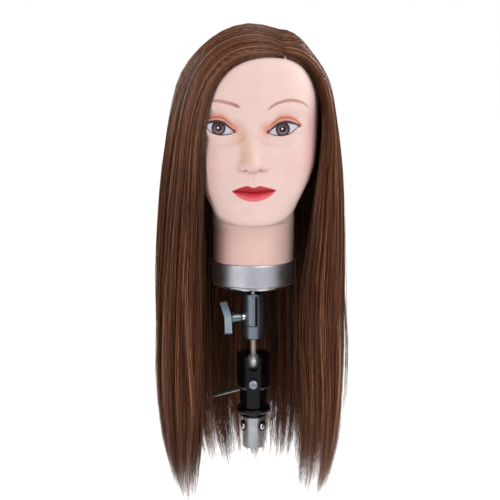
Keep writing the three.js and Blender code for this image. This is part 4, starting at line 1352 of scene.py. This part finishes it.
def sample(lines, order):
    """Lines between neighbouring guides."""
    at = np.clip(order, 0, 1) * (len(lines) - 1)
    low = np.minimum(at.astype(int), len(lines) - 2)
    share = (at - low)[:, None, None]
    return lines[low] * (1 - share) + lines[low + 1] * share


# From the darkest hair to the lightest; the hair right of the parting is painted a little lighter, as painted
# light from that side.
RIGHT_SIDE_PAINTED_LIGHT = 0.25
HAIR_TONES = ["#28120a", "#4b2919", "#6e402a", "#8b563b", "#ae7452", "#d09976"]


def between(outer, inner, order, depth):
    """Lines between neighbouring guides, at a share of the hair's thickness."""
    line = sample(outer, order)
    return line + (sample(inner, order) - line) * np.broadcast_to(depth, len(order))[:, None, None]


def strand_colours(tone, points, draws):
    """A colour for each point of each strand: its own tone, darker at the root as painted shade along the
    parting, lighter down the length.
    """
    chart = np.array([linear(code) for code in HAIR_TONES])
    lengthwise = np.linspace(0, 1, points)[None]
    # Painted shade: the roots are darker, along the parting.
    level = tone[:, None] - 0.1 + 0.8 * smooth(0.0, 0.05, lengthwise) + 0.7 * smooth(0.55, 1, lengthwise)
    for _ in range(2):
        phase = draws.uniform(0, 6.3, (len(tone), 1))
        rate = draws.uniform(8, 30, (len(tone), 1))
        level = level + 0.35 * np.sin(phase + rate * lengthwise)
    level = np.clip(level, 0, len(chart) - 1.001)
    low = level.astype(int)
    share = (level - low)[..., None]
    return chart[low] * (1 - share) + chart[low + 1] * share


def strands(outer, inner, count, clumps, depth_range, order_range, seed, width, stray=1.0):
    """Strand paths between the guides, gathered in locks that close towards their ends."""
    draws = np.random.default_rng(seed)
    low, high = order_range
    lock_order = np.sort(draws.uniform(low, high, clumps))
    lock_depth = draws.uniform(*depth_range, clumps)
    lock = draws.integers(0, clumps, count)
    order = lock_order[lock] + draws.normal(0, 0.55 / clumps * 2 * (high - low), count)
    order = np.clip(order, low, high)
    depth = np.clip(lock_depth[lock] + draws.normal(0, 0.12, count), 0, 1)
    path = between(outer, inner, order, depth)
    centre = between(outer, inner, lock_order, lock_depth)
    points = path.shape[1]
    t = np.linspace(0, 1, points)
    gather = 0.8 * smooth(0.6, 1, t)[None, :, None] * draws.uniform(0.3, 1.0, clumps)[lock][:, None, None]
    path = path + (centre[lock] - path) * gather
    path = path + drift(draws, lock, clumps, count, t, stray)
    end = BOTTOM + 70 * draws.uniform(0, 1, clumps)[lock] ** 1.4 + 100 * draws.uniform(0, 1, count) ** 1.3
    path = shortened(path, share_above(end))
    path = off_skin(path, 1.2)
    tone = np.clip(draws.normal(1.3, 0.9, clumps)[lock] + draws.normal(0, 0.9, count), 0, 4.4)
    right_side = outer[0, -1, 0] > 0
    # Painted shade darkens strands deep in the hair and at its front edge by the face; painted light lightens
    # the right side.
    tone = tone - 1.3 * depth - 0.9 * smooth(0.07, 0.0, order) + RIGHT_SIDE_PAINTED_LIGHT * right_side
    colour = strand_colours(tone, points, draws)
    roll = draws.normal(0, 0.45, count)
    breadth = width * draws.uniform(0.7, 1.25, count)
    return path, colour, roll, breadth


def drift(draws, lock, clumps, count, t, stray):
    """Slow sideways wandering of the locks and of single strands, growing down their length."""
    grow = smooth(0.25, 1, t)[None, :]
    total = np.zeros((count, len(t), 3))
    for amount, owner, number in ((2.2, lock, clumps), (1.5 * stray, np.arange(count), count)):
        phase = draws.uniform(0, 2 * math.pi, (number, 2))
        rate = draws.uniform(1.0, 4.5, (number, 2))
        size = draws.normal(0, amount, (number, 2))
        wave = size[:, None] * np.sin(t[None, :, None] * rate[:, None] * math.pi + phase[:, None])
        lean = draws.normal(0, amount * 0.9, (number, 1, 2)) * t[None, :, None] ** 2
        total[..., :2] += (wave + lean)[owner] * grow[..., None]
    return total


def share_above(height):
    """The share of a guide line's points that lie above a height."""
    above = CROWN_POINTS - 1 + HANG_POINTS * (HANG - height) / (HANG - BOTTOM)
    return above / (CROWN_POINTS - 1 + HANG_POINTS)


def shortened(path, share):
    """Cuts each strand at a share of its length and spreads its points again."""
    points = path.shape[1]
    at = np.linspace(0, 1, points)[None] * share[:, None] * (points - 1)
    low = np.minimum(at.astype(int), points - 2)
    part = (at - low)[..., None]
    rows = np.arange(len(path))[:, None]
    return path[rows, low] * (1 - part) + path[rows, low + 1] * part


def ribbons(name, bundle):
    """One mesh of narrow ribbons, each facing out from the head."""
    path, colour, roll, breadth = bundle
    count, points = path.shape[:2]
    tangent = np.gradient(path, axis=1)
    tangent /= np.linalg.norm(tangent, axis=2, keepdims=True) + 1e-9
    axis_point = path * [0.0, 0.0, 1.0]
    axis_point[..., 2] = np.minimum(path[..., 2], SKULL_CENTRE[2])
    outward = path - axis_point
    side = np.cross(tangent, outward)
    side /= np.linalg.norm(side, axis=2, keepdims=True) + 1e-9
    facing = np.cross(side, tangent)
    turned = side * np.cos(roll)[:, None, None] + facing * np.sin(roll)[:, None, None]
    t = np.linspace(0, 1, points)
    taper = (0.55 + 0.45 * smooth(0, 0.12, t)) * (1 - 0.8 * smooth(0.82, 1, t))
    half = 0.5 * breadth[:, None, None] * taper[None, :, None]
    edges = np.stack([path - turned * half, path + turned * half], axis=2)
    vertices = edges.reshape(-1, 3) * MM
    base = (np.arange(count)[:, None] * points + np.arange(points - 1)[None]).ravel() * 2
    quads = np.stack([base, base + 2, base + 3, base + 1], axis=1)
    mesh = quad_mesh(name, vertices, quads)
    set_paint(mesh, np.repeat(colour.reshape(-1, 3), 2, axis=0), np.zeros(len(vertices)))
    attach(link(name, mesh), "hair", "head")


def quad_mesh(name, vertices, quads):
    """A mesh of four-sided faces, built quickly, from points in metres."""
    mesh = bpy.data.meshes.new(name)
    mesh.vertices.add(len(vertices))
    mesh.vertices.foreach_set("co", vertices.astype(np.float32).ravel())
    mesh.loops.add(quads.size)
    mesh.loops.foreach_set("vertex_index", quads.astype(np.int32).ravel())
    mesh.polygons.add(len(quads))
    mesh.polygons.foreach_set("loop_start", np.arange(0, quads.size, 4, dtype=np.int32))
    mesh.update(calc_edges=True)
    mesh.shade_smooth()
    return mesh


def under_layer(name, outer, inner, depth, order_range, end, nodes, ragged_seed):
    """An opaque sheet of hair under the strands, 1 mm thick, with an uneven lower end, painted in dark tones
    as painted shade inside the hair.
    """
    draws = np.random.default_rng(ragged_seed)
    columns = 150
    order = np.linspace(*order_range, columns)
    lines = between(outer, inner, order, depth)
    bottom = end + np.repeat(draws.uniform(-20, 25, columns // 3), 3) + draws.uniform(-8, 8, columns)
    lines = off_skin(shortened(lines, share_above(bottom)), 0.5)
    rows = lines.shape[1]
    away = lines * [1.0, 1.0, 0.0]
    away /= np.linalg.norm(away, axis=2, keepdims=True) + 1e-9
    back = lines - away * 0.6
    points = np.concatenate([lines.reshape(-1, 3), back.reshape(-1, 3)])
    front_faces = grid_faces(columns, rows, around=False)
    total = columns * rows
    faces = front_faces + [tuple(reversed([i + total for i in f])) for f in front_faces]
    # Painted shade: the sheet takes the darkest tones, for the inside of the hair.
    tone = draws.uniform(0, 0.8, columns)
    colour = strand_colours(tone, rows, draws).reshape(-1, 3)
    mesh = mesh_from(name, points, faces, sharp=math.pi)
    # Painted shade: the sheet's inner face is darker still.
    set_paint(mesh, np.vstack([colour, colour * 0.6]), np.zeros(len(points)))
    sheet = attach(link(name, mesh), "hair_base", "head")
    if nodes:
        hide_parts(*nodes)


def hair():
    """Under layers, batches from front to back, and strands inside, along the edge and loose."""
    count = 3000
    for side, name in ((-1, "left"), (1, "right")):
        outer, inner = guides(side)
        nodes = [f"hair_cap_{name}", f"hair_side_{name}"] + (["hair_back"] if side < 0 else [])
        under_layer(f"hair_base_{name}", outer, inner, 0.55, (0.012, 1), 75, nodes, 31 + side)
        under_layer(f"hair_lining_{name}", outer, inner, 0.95, (0.03, 1), 80, [], 41 + side)
        for batch in range(HAIR_BATCHES):
            low, high = batch / HAIR_BATCHES, (batch + 1) / HAIR_BATCHES
            bundle = strands(outer, inner, count, 48, (0, 0.6), (low, high), 100 + batch * 7 + side, 0.32)
            ribbons(f"hair_{name}_{batch + 1}", bundle)
        inside = strands(outer, inner, count, 120, (0.8, 1.0), (0, 1), 300 + side, 0.45)
        ribbons(f"hair_inside_{name}", inside)
        fringe = strands(outer, inner, 700, 40, (0, 0.25), (0, 0.035), 400 + side, 0.3, stray=0.5)
        ribbons(f"hair_edge_{name}", fringe)
        loose = strands(outer, inner, 260, 200, (-0.15, 0.1), (0.0, 1), 500 + side, 0.22, stray=3.0)
        ribbons(f"hair_loose_{name}", loose)


head_skin()
foam_core()
eye_insert("right_eye_insert", 1, PUPIL_RIGHT, "right_eye")
eye_insert("left_eye_insert", -1, PUPIL_LEFT, "left_eye")
lid_rims("right_lid", 1)
lid_rims("left_lid", -1)
hair()
